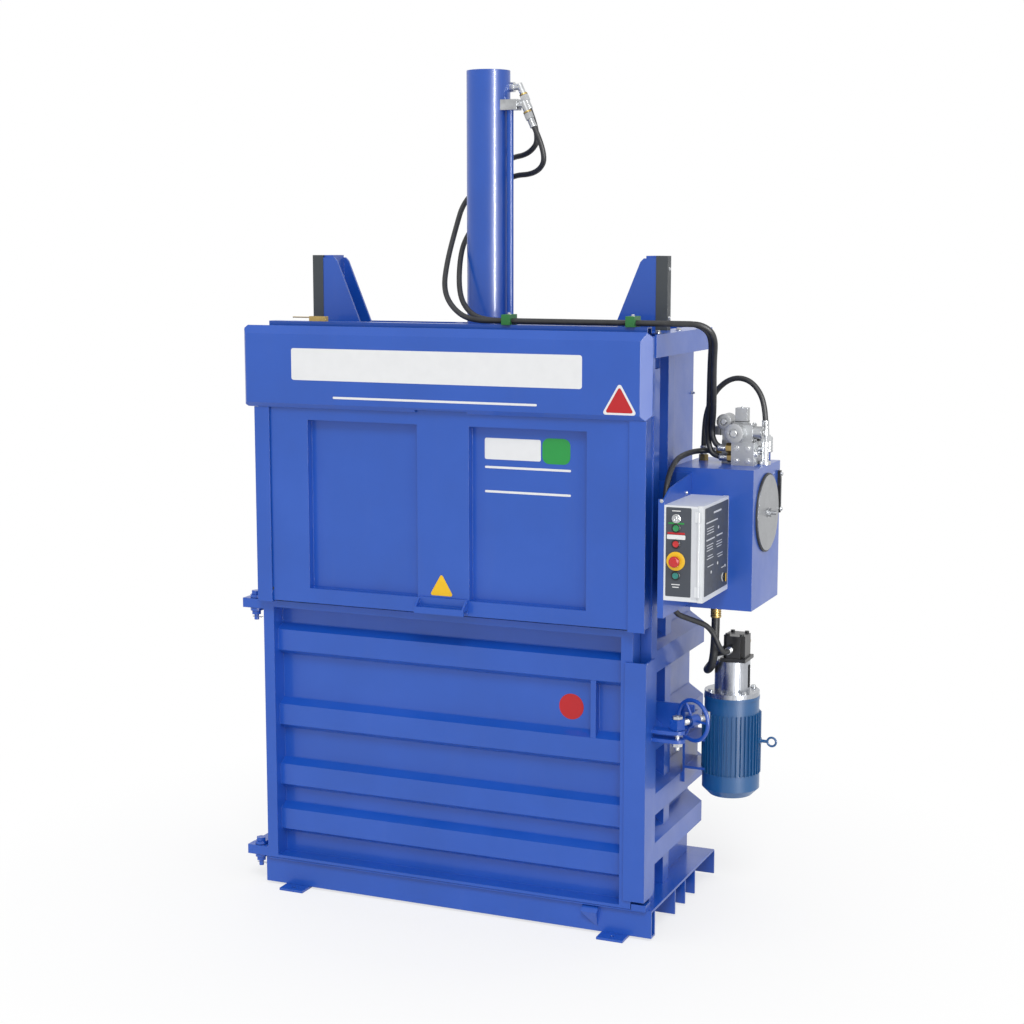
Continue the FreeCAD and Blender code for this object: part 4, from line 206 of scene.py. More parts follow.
def metal(name, colour, rough=0.3, stretch=(1, 1, 1), scale=120, bump=0.12, tarnish=0.75,
          radius=0.0008):
    """Bare or plated metal with machining marks and uneven tarnish."""
    g = Graph(name)
    base = linear(colour)
    tone = g.steps(g.noise(14, 6, 0.65), [(0.34, shade(base, tarnish)), (0.66, base)])
    marks = g.noise(scale, 5, 0.6, stretch)
    gloss = g.span(marks, 0.3, 0.7, rough - 0.08, rough + 0.14)
    return g.finish(tone, gloss, g.bump(marks, bump, FINE_DEPTH, g.rounding(radius)),
                    Metallic=PLATED)


def plastic(name, colour, rough=0.38, grain=520, bump=0.08, radius=0.0008, coat=0.0):
    """Moulded plastic, film or print: fine grain and a little unevenness of tone and gloss."""
    g = Graph(name)
    base = linear(colour)
    tone = g.steps(g.noise(18, 4), [(0.3, shade(base, 0.965)), (0.7, base)])
    gloss = g.span(g.noise(30, 4), 0.3, 0.7, rough - 0.07, rough + 0.09)
    normal = g.bump(g.noise(grain, 3), bump, FINE_DEPTH, g.rounding(radius))
    return g.finish(tone, gloss, normal, Coat_Weight=coat)


def rubber(name, colour):
    """Hose rubber with the fine print of its cloth wrap."""
    g = Graph(name)
    base = linear(colour)
    tone = g.steps(g.noise(24, 5, 0.7), [(0.38, base), (0.78, shade(base, 1.9, 0.006))])
    weave = g.add("ShaderNodeTexWave", wave_type="BANDS", bands_direction="DIAGONAL")
    for key, value in (("Scale", 260), ("Distortion", 1.2), ("Vector", g.place)):
        g.feed(weave.inputs[key], value)
    gloss = g.span(g.noise(40, 4), 0.3, 0.7, 0.42, 0.58)
    return g.finish(tone, gloss, g.bump(weave.outputs["Fac"], 0.18, FINE_DEPTH))


PIVOT = Vector((940, -345, 866))
PIVOT_BLOCK_R = 0.029
PORT_BLOCK_LOW = 3.243
PIPE = Vector((107, -50, 0))
PIPE_REACH = 0.040


def beyond_pivot(g):
    """Plated away from the latch's pivot block, painted on it."""
    return g.math("GREATER_THAN", g.distance((1, 1, 0), PIVOT * MM), PIVOT_BLOCK_R)


def off_pipe(g):
    """Plated from the port block up and on its elbow, painted along the pipe."""
    above = g.math("GREATER_THAN", g.distance((0, 0, 1)), PORT_BLOCK_LOW)
    beside = g.math("GREATER_THAN", g.distance((1, 1, 0), PIPE * MM), PIPE_REACH)
    return g.math("MAXIMUM", above, beside)


BLUE = (18, 80, 179)
MATERIALS = {
    "frame_blue": enamel("frame_blue", BLUE),
    "motor_blue": enamel("motor_blue", (10, 88, 146), 0.38, 0.3, 0.14, 0.14, 0.0015),
    "zinc_steel": metal("zinc_steel", (200, 202, 204), 0.28, (1, 1, 6)),
    "plate_steel": metal("plate_steel", (156, 158, 161), 0.34, (1, 6, 1), 60, 0.08, 0.88),
    "rod_chrome": metal("rod_chrome", (214, 216, 218), 0.12, (1, 1, 12), 200, 0.03, 0.94),
    "cast_aluminium": metal("cast_aluminium", (172, 175, 181), 0.24, (1, 1, 0.1), 90, 0.03, 0.93),
    "valve_block": metal("valve_block", (176, 178, 180), 0.4, (1, 1, 1), 240, 0.2, 0.82),
    "pump_black": enamel("pump_black", (26, 27, 30), 0.44, 0.5, 0.2, 0.2, 0.0012),
    "fitting_brass": metal("fitting_brass", (190, 164, 104), 0.3, (1, 1, 5), 140, 0.1, 0.7),
    "black_rubber": rubber("black_rubber", (30, 31, 33)),
    "slide_pad": plastic("slide_pad", (58, 64, 68), 0.5, 200, 0.2, 0.0015),
    "black_plastic": plastic("black_plastic", (26, 27, 29), 0.42),
    "box_white": enamel("box_white", (222, 225, 228), 0.4, 0.15, 0.06, 0.12, 0.0015),
    "button_green": plastic("button_green", (14, 140, 76), 0.28, coat=0.4),
    "button_teal": plastic("button_teal", (20, 128, 118), 0.28, coat=0.4),
    "button_red": plastic("button_red", (196, 16, 22), 0.28, coat=0.4),
    "clamp_green": plastic("clamp_green", (30, 118, 52), 0.46),
}
EXTRA = {
    "white_field": plastic("white_field", (230, 231, 232), 0.4),
    "red_field": plastic("red_field", (186, 8, 20), 0.38),
    "yellow_field": plastic("yellow_field", (240, 190, 8), 0.38),
    "grey_field": plastic("grey_field", (210, 213, 218), 0.4),
    "green_field": plastic("green_field", (22, 148, 62), 0.38),
    # Dark prints and the gauge window; the gate stile's hole also takes it, as painted shade.
    "dark_field": plastic("dark_field", (60, 66, 76), 0.5),
    "weld_blue": enamel("weld_blue", BLUE, 0.4, 0.2, 0.08, 0.25, 0.0005),
    "swing_screw": enamel("swing_screw", BLUE, 0.3, bare=beyond_pivot),
    "rod_supply_pipe": enamel("rod_supply_pipe", BLUE, 0.3, bare=off_pipe),
}


def dress_frame():
    """Give every CAD node its slot's finish, or its own where paint and plating meet on it."""
    for name, thing in NODES.items():
        thing.data.materials.clear()
        thing.data.materials.append(EXTRA.get(name) or MATERIALS[SLOTS[name]])


# ---------------------------------------------------------------- shapes, sizes in millimetres
def at(x, y, z):
    """Millimetres to a point in metres."""
    return Vector((x, y, z)) * MM


def stand(start, axis):
    """Place whose height runs along an axis from a point."""
    turn = Vector(axis).to_track_quat("Z", "Y").to_matrix().to_4x4()
    return Matrix.Translation(at(*start)) @ turn


def ring_point(radius, angle, height):
    """Point on a ring about the height's axis."""
    return at(radius * math.cos(angle), radius * math.sin(angle), height)


def piece(name, shape, body, slot, material=None, angle=35):
    """Turn a bmesh into a piece that rides on a body and takes a slot's finish."""
    mesh = bpy.data.meshes.new(name)
    bmesh.ops.recalc_face_normals(shape, faces=shape.faces)
    shape.to_mesh(mesh)
    shape.free()
    thing = bpy.data.objects.new(name, mesh)
    bpy.context.scene.collection.objects.link(thing)
    mesh.materials.append(EXTRA[material] if material else MATERIALS[slot])
    for polygon in mesh.polygons:
        polygon.use_smooth = True
    mesh.set_sharp_from_angle(angle=math.radians(angle))
    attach(thing, body)
    return thing


def lathe(shape, profile, start, axis, sides=24):
    """Add a turned solid: profile is (radius, height) from foot to top."""
    place = stand(start, axis)
    loops = []
    for radius, height in profile:
        angles = [2 * math.pi * i / sides for i in range(sides if radius else 1)]
        loops.append([shape.verts.new(place @ ring_point(radius, angle, height))
                      for angle in angles])
    for lower, upper in zip(loops, loops[1:]):
        for i in range(sides):
            j = (i + 1) % sides
            unique = list(dict.fromkeys((lower[i % len(lower)], lower[j % len(lower)],
                                         upper[j % len(upper)], upper[i % len(upper)])))
            if len(unique) > 2:
                shape.faces.new(unique)
    for loop in (loops[0], loops[-1]):
        if len(loop) > 2:
            shape.faces.new(loop)


def tyre(shape, profile, start, axis, sides=40):
    """Add a turned ring: the profile closes on itself and leaves the middle open."""
    place = stand(start, axis)
    loops = []
    for i in range(sides):
        angle = 2 * math.pi * i / sides
        loops.append([shape.verts.new(place @ ring_point(radius, angle, height))
                      for radius, height in profile])
    count = len(profile)
    for loop, following in zip(loops, loops[1:] + loops[:1]):
        for i in range(count):
            j = (i + 1) % count
            shape.faces.new([loop[i], loop[j], following[j], following[i]])


def bolt(shape, spot, axis, across, head, washer=True):
    """Add a bolt head with a chamfered crown, on a thin washer."""
    base = 0.12 * across if washer else 0
    if washer:
        lathe(shape, [(across * 0.82, 0), (across * 0.82, base)], spot, axis)
    corner = across / math.sqrt(3)
    crown = [(corner, base), (corner, base + head * 0.82), (corner * 0.86, base + head)]
    lathe(shape, crown, spot, axis, 6)


def bolts(name, spots, axis, across, head, body="frame", slot="zinc_steel", washer=True):
    shape = bmesh.new()
    for spot in spots:
        bolt(shape, spot, axis, across, head, washer)
    return piece(name, shape, body, slot)


def turned(name, profile, start, axis, body, slot, material=None, hollow=True):
    """One turned piece, a ring or a solid knob."""
    shape = bmesh.new()
    (tyre if hollow else lathe)(shape, profile, start, axis, 40)
    return piece(name, shape, body, slot, material)


def slab(shape, lowest, highest, edge):
    """Add a block with bevelled edges between its lowest and highest corners."""
    made = bmesh.ops.create_cube(shape, size=1)
    low, high = at(*lowest), at(*highest)
    size, centre = high - low, (low + high) / 2
    for vertex in made["verts"]:
        vertex.co = Vector([c + v * s for c, v, s in zip(centre, vertex.co, size)])
    lines = {line for vertex in made["verts"] for line in vertex.link_edges}
    reach = min(edge * MM, min(size) * 0.45)
    bmesh.ops.bevel(shape, geom=list(lines), offset=reach, segments=2, profile=0.6, affect="EDGES")


def blocks(name, boxes, body, slot, material=None, edge=1.0):
    shape = bmesh.new()
    for lowest, highest in boxes:
        slab(shape, lowest, highest, edge)
    return piece(name, shape, body, slot, material)


FIELD_T = 0.9


def field(name, outline, normal, body, material, slot="box_white"):
    """Thin blank plate through the corners of an outline that lies on a surface."""
    shape = bmesh.new()
    lift = Vector(normal) * FIELD_T * MM
    bottom = [shape.verts.new(point) for point in outline]
    top = [shape.verts.new(point + lift) for point in outline]
    shape.faces.new(bottom)
    shape.faces.new(top)
    for i, corner in enumerate(bottom):
        j = (i + 1) % len(bottom)
        shape.faces.new([corner, bottom[j], top[j], top[i]])
    return piece(name, shape, body, slot, material)


def rounded(centre, normal, corners, radius, steps=5):
    """Outline with rounded corners, given as (across, up) places round a centre on a surface."""
    normal = Vector(normal)
    across = Vector(UP).cross(normal)
    points = []
    count = len(corners)
    for i, corner in enumerate(corners):
        corner, before, after = (Vector(corners[k % count]) for k in (i, i - 1, i + 1))
        into, out = (corner - before).normalized(), (after - corner).normalized()
        turn = into.angle(out)
        reach = radius * math.tan(turn / 2)
        inward = (out - into).normalized()
        hub = corner + inward * radius / math.cos(turn / 2)
        first = (corner - into * reach) - hub
        side = 1 if into.cross(out) > 0 else -1
        for step in range(steps + 1):
            angle = side * turn * step / steps
            x = hub.x + first.x * math.cos(angle) - first.y * math.sin(angle)
            y = hub.y + first.x * math.sin(angle) + first.y * math.cos(angle)
            points.append(at(*centre) + (across * x + Vector(UP) * y) * MM)
    return points


def plate(name, centre, normal, width, height, radius, material, body, slot="box_white"):
    """Blank rounded plate or band of colour on an upright face."""
    w, h = width / 2, height / 2
    outline = rounded(centre, normal, [(-w, -h), (w, -h), (w, h), (-w, h)], radius)
    return field(name, outline, normal, body, material, slot)


def regular(name, centre, normal, across, count, radius, material, body, slot="box_white"):
    """Blank field with equal sides, such as a triangle, or a disc when it has many."""
    angles = [2 * math.pi * i / count for i in range(count)]
    corners = [(across * math.sin(angle), across * math.cos(angle)) for angle in angles]
    outline = rounded(centre, normal, corners[::-1], radius, 4 if count < 9 else 1)
    return field(name, outline, normal, body, material, slot)


# ---------------------------------------------------------------- welds
WALL_RIBS = (311, 513, 779, 1092)
REAR_TOP_RIB = 1600
DOOR_RIBS = (291, 486, 746, 1067)
WALL_RIB_FOOT, DOOR_RIB_FOOT = 87.5, 67
WALL_OUT, PANEL_Y = 768, -364
RAM_Y, BARREL_R = -23, 89
PAD_LOW_Y, PAD_HIGH_Y = -96, -24
RING_LIFT, RING_BEADS, BEAD_R = 30, 72, 4.2


def weld(name, runs, body, radius=3.0, pitch=6.0):
    """One rippled bead along each straight run."""
    shape = bmesh.new()
    for start, end in runs:
        way = Vector(end) - Vector(start)
        count = max(2, int(way.length / pitch))
        profile = [(0, 0)]
        for i in range(count * 2 + 1):
            swell = 1.0 if i % 2 else 0.82
            profile.append((radius * swell, way.length * (i + 0.5) / (count * 2 + 2)))
        profile.append((0, way.length))
        lathe(shape, profile, start, way, 6)
    return piece(name, shape, body, "frame_blue", "weld_blue", 60)


def lay_welds():
    """Beads along ribs, base and gate handle; those of the side walls leave the pads' way free."""
    rear = HIGH["right_side_wall"].y
    for side, word in ((-1, "left"), (1, "right")):
        near = HIGH[f"{word}_front_post"].y + 2
        runs = [((side * WALL_OUT, start, level + way), (side * WALL_OUT, end, level + way))
                for level in WALL_RIBS for way in (-WALL_RIB_FOOT, WALL_RIB_FOOT)
                for start, end in ((near, PAD_LOW_Y), (PAD_HIGH_Y, rear - 15))]
        weld(f"{word}_wall_welds", runs, "frame")
    weld("rear_wall_welds", [((-760, rear - 9, level + way), (760, rear - 9, level + way))
                             for level in (*WALL_RIBS, REAR_TOP_RIB)
                             for way in (-WALL_RIB_FOOT, WALL_RIB_FOOT)], "frame")
    weld("door_welds", [((-800, PANEL_Y, level + way), (738, PANEL_Y, level + way))
                        for level in DOOR_RIBS for way in (-DOOR_RIB_FOOT, DOOR_RIB_FOOT)] +
         [((x, PANEL_Y, 800), (x, PANEL_Y, 1015)) for x in (600, 624)], "door", 2.2)
    deck = LOW["floor_deck"].y
    weld("base_welds", [((-850, deck, 121), (850, deck, 121)), ((-700, 422, 20), (-700, 422, 110)),
                        ((700, 422, 20), (700, 422, 110))], "frame")
    gate = LOW["gate_panel"].y - 0.5
    foot, head = LOW["gate_handle"], HIGH["gate_handle"]
    weld("gate_welds", [((foot.x, gate, foot.z + 6), (head.x, gate, foot.z + 6)),
                        ((foot.x + 4, gate, head.z - 5), (head.x - 4, gate, head.z - 5))],
         "gate", 2.0)
    saddle = HIGH["cylinder_crosshead"].z + RING_LIFT
    shape = bmesh.new()
    for i in range(RING_BEADS):
        angle = 2 * math.pi * i / RING_BEADS
        spot = at(BARREL_R * math.cos(angle), RAM_Y + BARREL_R * math.sin(angle), saddle)
        bmesh.ops.create_icosphere(shape, subdivisions=1, radius=BEAD_R * MM,
                                   matrix=Matrix.Translation(spot))
    piece("cylinder_weld_ring", shape, "frame", "frame_blue", "weld_blue", 80)


# ---------------------------------------------------------------- blank plates and fields of colour
GATE_RECESS_Y = -440


def lay_plates():
    """Blank bands, lines and fields of hood, gate and door, and a dark disc of painted shade over
    the gate stile's hole.
    """
    hood, gate = LOW["front_hood"].y, LOW["gate_panel"].y
    plate("hood_white_band", (-32, hood, 2232), FRONT, 1256, 128, 10, "white_field", "frame")
    plate("hood_white_line", (-30, hood, 2101), FRONT, 884, 9, 4, "white_field", "frame")
    regular("hood_white_rim", (747, hood, 2116), FRONT, 82, 3, 9, "white_field", "frame")
    regular("hood_red_field", (747, hood - FIELD_T, 2116), FRONT, 66, 3, 6, "red_field", "frame")
    plate("gate_white_band", (285, GATE_RECESS_Y, 1919), FRONT, 237, 84, 8, "white_field", "gate")
    plate("gate_green_field", (468, GATE_RECESS_Y, 1919), FRONT, 116, 100, 28, "green_field",
          "gate")
    for word, z in (("upper", 1846), ("lower", 1750)):
        plate(f"gate_{word}_line", (348, GATE_RECESS_Y, z), FRONT, 362, 9, 4, "white_field", "gate")
    regular("gate_yellow_field", (-8, gate, 1354), FRONT, 60, 3, 7, "yellow_field", "gate")
    # Dark disc of painted shade standing in for the hole in the gate's stile.
    regular("gate_stile_hole_shade", (-782, gate, 1299), FRONT, 7, 16, 1, "dark_field", "gate")
    regular("door_red_field", (505.7, PANEL_Y, 897.2), FRONT, 52, 40, 2, "red_field", "door")


# ---------------------------------------------------------------- latch
LATCH_TURN = math.radians(26)
LATCH_WAY = Vector((math.sin(LATCH_TURN), math.cos(LATCH_TURN), 0))
SHANK_R, THREAD_PITCH, THREAD_SIDES = 12, 3.5, 20
HINGE_LEVELS = (1158, 84)


def thread(name, start, length, radius, pitch, body, depth=0.9):
    """Screw thread: one continuous ridge wound on a shank of the latch."""
    shape = bmesh.new()
    place = stand(start, LATCH_WAY)
    sides = THREAD_SIDES
    count = int(length / pitch * sides)
    sections = []
    for i in range(count + 1):
        angle = 2 * math.pi * i / sides
        fade = min(1, i / sides, (count - i) / sides)
        middle = length * i / count
        ridge = [ring_point(radius + rise, angle, middle + along * pitch)
                 for along, rise in ((-0.42, -0.2), (0, depth * fade), (0.42, -0.2))]
        sections.append([shape.verts.new(place @ point) for point in ridge])
    for before, after in zip(sections, sections[1:]):
        for a, b in ((0, 1), (1, 2), (2, 0)):
            shape.faces.new([before[a], before[b], after[b], after[a]])
    shape.faces.new(sections[0])
    shape.faces.new(sections[-1])
    return piece(name, shape, body, "zinc_steel", angle=70)


def dress_latch():
    """Threads, the wheel's hub face, the pivot bolt's ends and the split pins of the hinges."""
    thread("swing_screw_thread", PIVOT + LATCH_WAY * 30, 30, SHANK_R, THREAD_PITCH, "latch")
    thread("draw_bolt_thread", PIVOT + LATCH_WAY * 118, 13, SHANK_R, THREAD_PITCH, "draw")
    turned("wheel_hub_face", [(14, 0), (23, 0), (23.5, 1.2), (23.5, 3), (21, 4.5), (14, 4.5)],
           PIVOT + LATCH_WAY * 64, LATCH_WAY, "wheel", "frame_blue")
    bolt_x, bolt_y = MIDDLE["latch_pivot_bolt"].xy
    shape = bmesh.new()
    for z, axis in ((HIGH["latch_pivot_bolt"].z, UP), (LOW["latch_pivot_bolt"].z, DOWN)):
        lathe(shape, [(7, 0), (9, 0), (9, 1), (7.6, 2), (0, 2)], (bolt_x, bolt_y, z), axis)
    piece("latch_bolt_ends", shape, "door", "zinc_steel")
    hinge_x, hinge_y = MIDDLE["door_hinge_pins"].xy
    shape = bmesh.new()
    for z in HINGE_LEVELS:
        lathe(shape, [(0, 0), (2.2, 0.6), (2.2, 37), (0, 37.6)], (hinge_x - 18.8, hinge_y, z),
              RIGHT, 10)
        for side in (-1, 1):
            lathe(shape, [(0, 0), (1.5, 0.4), (1.5, 13), (0, 13.4)], (hinge_x + 17, hinge_y, z),
                  (0.8, 0.6 * side, 0), 8)
    piece("hinge_cotter_pins", shape, "frame", "zinc_steel")


# ---------------------------------------------------------------- hoses
HOSE_D, SUCTION_D = 22, 34
LEG_TURN = math.radians(25)
LEG = (math.sin(LEG_TURN), 0, -math.cos(LEG_TURN))
SLEEVE_SHARE = 1.6
# Each hose: its diameter, its length, its ways out at both ends and the points of its line.
HOSES = {
    "hose_extend": (HOSE_D, 3035, LEFT, LEG, [
        (1022, -16, 1915), (985, -16, 1915), (962, -16, 1957), (964, -22, 1999),
        (987, -80, 2069), (1026, -220, 2254), (1072, -350, 2372), (1030, -385, 2414),
        (961, -385, 2414), (228, -385, 2414), (80, -385, 2414), (-34, -300, 2455),
        (-113, -220, 2527), (-144, -120, 2638), (-159, 0, 2777), (-168, 100, 2889),
        (-80, 150, 2980), (30, 108, 3062), (160, 30, 3072), (220, 0, 3142), (157, 0, 3280)]),
    "hose_retract": (HOSE_D, 2970, LEFT, LEG, [
        (1022, 4, 1875), (965, 4, 1875), (942, 4, 1917), (939, -4, 1999), (961, -60, 2069),
        (1003, -192, 2254), (1050, -326, 2372), (1006, -361, 2414), (936, -361, 2414),
        (290, -361, 2414), (140, -361, 2414), (24, -268, 2436), (-60, -190, 2510),
        (-108, -70, 2670), (-130, 60, 2757), (-67, 150, 2880), (30, 96, 2990),
        (206, 12, 2992), (268, -50, 3072), (195, -50, 3206)]),
    "return_hose": (HOSE_D, 644, UP, UP, [
        (1162, 42, 1989), (1162, 42, 2085), (1109, 52, 2172), (1028, 66, 2192), (951, 80, 2144),
        (906, 88, 2055), (895, 90, 1960), (895, 90, 1873)]),
    "pressure_hose": (HOSE_D, 1450, LEFT, FRONT, [
        (966, 46, 1895), (914, 46, 1895), (872, -40, 1893), (874, -233, 1879),
        (890, -385, 1785), (888, -358, 1547), (876, -253, 1287), (922, -123, 1236),
        (978, -43, 1196), (1014, -13, 1087), (1024, 33, 1083), (1024, 69, 1083)]),
    "suction_hose": (SUCTION_D, 689, DOWN, BACK, [
        (972, 40, 1273), (972, 40, 1145), (961, 44, 1018), (902, 140, 968), (902, 245, 988),
        (948, 296, 1048), (1032, 296, 1083), (1032, 225, 1083)]),
}


def sleeve(shape, start, axis, radius, length):
    """Add the pressed sleeve of a hose end: a collar and ribs."""
    profile = [(1.02, 0), (1.22, 0), (1.28, 0.03), (1.28, 0.1)]
    for i in range(5):
        foot = 0.14 + 0.15 * i
        profile += [(1.18, foot), (1.18, foot + 0.04), (1.3, foot + 0.07), (1.3, foot + 0.12)]
    profile += [(1.26, 0.97), (1.16, 1), (1.02, 1)]
    tyre(shape, [(radius * across, length * along) for across, along in profile], start, axis, 28)


def lay_hoses():
    """Each hose on one smooth line through its route, with a pressed sleeve at both ends."""
    for name, (across, length, leave, arrive, route) in HOSES.items():
        line = bpy.data.curves.new(f"{name}_line", "CURVE")
        line.dimensions = "3D"
        line.bevel_depth = across / 2 * MM
        line.bevel_resolution = 6
        line.resolution_u = 10
        line.use_fill_caps = True
        line.materials.append(MATERIALS["black_rubber"])
        spline = line.splines.new("NURBS")
        spline.points.add(len(route) - 1)
        for point, spot in zip(spline.points, route):
            point.co = (*at(*spot), 1)
        spline.order_u = 3
        spline.use_endpoint_u = True
        hose = bpy.data.objects.new(f"{name}_line", line)
        bpy.context.scene.collection.objects.link(hose)
        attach(hose, "frame")
        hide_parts(name)
        shape = bmesh.new()
        for start, axis in ((route[0], leave), (route[-1], arrive)):
            sleeve(shape, start, axis, across / 2, across * SLEEVE_SHARE)
        slot = "fitting_brass" if across == SUCTION_D else "zinc_steel"
        ends = piece(f"{name}_sleeves", shape, "frame", slot)


# ---------------------------------------------------------------- hydraulics
COVER_FACE = 1188
MANIFOLD_PORTS = ((1066, 1868), (1114, 1868), (1066, 1918), (1114, 1918))
COILS = (("front", (1068, -78, 1979), FRONT, 37.5), ("side", (1008, -10, 2017), FRONT, 30),
         ("end", (1162, -6, 1979), RIGHT, 25))
VALVE_TOP, VALVE_STUD = 2011, (1080, -1, 2074.4)
ELBOW, KNEE = (130, 0, 3338), (168, -50, 3264)


def dress_manifold():
    """Screws on the valve block and plugs in its ports."""
    near, far = LOW["valve_manifold"], HIGH["valve_manifold"]
    shape = bmesh.new()
    for x, y in ((far.x - 10, near.y + 12), (far.x - 10, far.y - 12), (near.x + 66, near.y + 12),
                 (near.x + 10, far.y - 12)):
        tyre(shape, [(3.4, 0), (5, 0), (6.5, 0.6), (6.5, 6), (5.5, 7), (3.4, 7)],
             (x, y, far.z), UP, 18)
    piece("manifold_screws", shape, "frame", "pump_black")
    bolts("manifold_plugs", [(x, near.y, z) for x, z in MANIFOLD_PORTS], FRONT, 15, 5)
    bolts("manifold_end_plugs", [(far.x, y, near.z + 46) for y in (near.y + 24, far.y - 24)],
          RIGHT, 19, 6)


def dress_tank():
    """Washer of the round cover and the ribbed breather."""
    cover = MIDDLE["tank_cover"]
    turned("cover_washer", [(9, 0), (19, 0), (20, 0.6), (20, 1.6), (9, 1.6)],
           (COVER_FACE, cover.y, cover.z), RIGHT, "frame", "zinc_steel")
    ribs = [(17.4 + 1.1 * (i % 4 in (1, 2)), 3 * i) for i in range(1, 20)]
    turned("breather_cap", [(16, 0), (17.4, 0.5), *ribs, (17, 61), (0, 61.4)],
           (1140, 168, HIGH["oil_tank"].z - 60), UP, "frame", "valve_block", hollow=False)


def dress_valves():
    """Caps and nuts of the coils, gaskets of the plugs and screws of the valve."""
    for word, spot, axis, radius in COILS:
        rim = [(radius * 0.5, 0), (radius - 1, 0), (radius + 0.5, 1.2), (radius + 0.5, 3.4),
               (radius - 3, 4.6), (radius * 0.5, 4.6)]
        turned(f"{word}_coil_cap", rim, spot, axis, "frame", "valve_block")
        bolts(f"{word}_coil_nut", [spot], axis, radius * 0.72, 9, washer=False)
    blocks("plug_gaskets", [((1055.2, -20.8, 2020), (1104.8, 18.8, 2023)),
                            ((984, 19.2, 1960.2), (987, 56.8, 1995.8))],
           "frame", "black_rubber", edge=0.3)
    shape = bmesh.new()
    for x in (1049, 1123):
        for y in (-25, 23):
            tyre(shape, [(2.6, 0), (4.6, 0), (4.8, 0.6), (4.8, 4.6), (4.2, 5.2), (2.6, 5.2)],
                 (x, y, VALVE_TOP), UP, 16)
    lathe(shape, [(5.5, 0), (5.5, 3), (4, 4), (0, 4)], VALVE_STUD, UP, 16)
    piece("valve_screws", shape, "frame", "zinc_steel")


def dress_hydraulics():
    """Screws, plugs, caps and rings of tank, valves, clamps, rails, pads and pipe elbows."""
    dress_manifold()
    dress_tank()
    dress_valves()
    bolts("tank_drain_plug", [(1100, 20, LOW["oil_tank"].z)], DOWN, 24, 9)
    low, high = LOW["oil_level_gauge"], HIGH["oil_level_gauge"]
    blocks("gauge_window",
           [((high.x, low.y + 5, low.z + 34), (high.x + 1, high.y - 5, high.z - 34))],
           "frame", "black_plastic", "dark_field", 0.4)
    bolts("gauge_bolts", [(high.x, (low.y + high.y) / 2, z) for z in (low.z + 14, high.z - 14)],
          RIGHT, 13, 6)
    clamp = HIGH["hose_clamps"].z
    bolts("clamp_bolts", [(x, MIDDLE["hose_clamps"].y, clamp) for x in (752, 241)], UP, 10, 6)
    bolts("wall_stud", [(WALL_OUT, 322, 2100)], RIGHT, 9, 12)
    rail = HIGH["right_top_rail"].z
    bolts("rail_bolts", [(side * 832, y, rail) for side in (-1, 1) for y in (-315, -60, 200)],
          UP, 16, 9)
    for word, end, axis in (("left", LOW["guide_pads"].x, LEFT),
                            ("right", HIGH["guide_pads"].x, RIGHT)):
        bolts(f"{word}_pad_bolts", [(end, -60, z) for z in (2423, 2614)], axis, 10, 4, "press")
    shape = bmesh.new()
    for spot in (ELBOW, KNEE):
        start = Vector(spot) + Vector(LEG) * 30
        tyre(shape, [(13.2, 0), (16.4, 0), (17, 1), (17, 6), (16, 7), (13.2, 7)], start, LEG, 28)
    piece("elbow_rings", shape, "frame", "fitting_brass")


# ---------------------------------------------------------------- motor
FLANGE_TOP, PUMP_FLANGE_TOP, FAN_SCREW_Z = 901, 1029, 505
FLANGE_BOLT_R, FAN_COVER_R = 100, 113.5
DIAGONALS = [math.pi / 4 + math.pi / 2 * i for i in range(4)]


def dress_motor():
    """Bolts of the bell and the pump, and screws of the fan cover and the terminal box."""
    axis = MIDDLE["bell_housing"]
    shape = bmesh.new()
    for angle in DIAGONALS:
        spot = (axis.x + FLANGE_BOLT_R * math.cos(angle),
                axis.y + FLANGE_BOLT_R * math.sin(angle), FLANGE_TOP)
        bolt(shape, spot, UP, 16, 9)
    for x in (984.5, 1079.5):
        for y in (axis.y - 54, axis.y + 54):
            bolt(shape, (axis.x + (x - 1032) * 0.86, y, PUMP_FLANGE_TOP), UP, 9, 6)
    piece("bell_bolts", shape, "frame", "zinc_steel")
    shape = bmesh.new()
    for angle in DIAGONALS:
        way = Vector((math.cos(angle), math.sin(angle), 0))
        lathe(shape, [(4.2, 0), (4.2, 2.5), (1.5, 3.5), (0, 3.5)],
              Vector((axis.x, axis.y, FAN_SCREW_Z)) + way * FAN_COVER_R, way, 14)
    piece("fan_cover_screws", shape, "frame", "zinc_steel")
    shape = bmesh.new()
    for x in (979, 1049):
        for z in (652, 732):
            lathe(shape, [(4.5, 0), (4.5, 2), (3.4, 3), (0, 3)],
                  (x, HIGH["motor_housing"].y, z), BACK, 14)
    piece("terminal_box_screws", shape, "frame", "zinc_steel")


# ---------------------------------------------------------------- control box
PUSH_CAP = [(0, 0), (12, 0), (12, 17.6), (11.2, 18.6), (9.6, 19), (8.6, 18.4), (0, 18)]
MUSHROOM = [(0, 0), (12.4, 0), (12.4, 22.5), (17, 23), (20.2, 25), (21, 28), (21, 35.5), (20, 39.5),
            (16.5, 42.6), (10, 43.6), (0, 44)]
BEZEL = [(12.5, 0), (17, 0), (17.4, 1), (17.2, 4.4), (15.6, 5.6), (13, 5.6), (12.5, 5)]
CAPS = {"start_button": ("start", PUSH_CAP), "stop_button": ("stop", PUSH_CAP),
        "reset_button": ("reset", PUSH_CAP), "emergency_button": ("emergency", MUSHROOM)}
CAP_FOOT_Y = -494
PANEL_FACE = -504
RING_FOOT = PANEL_FACE - 0.2
STRIP_X = 1049
LOCK_Z = 1440
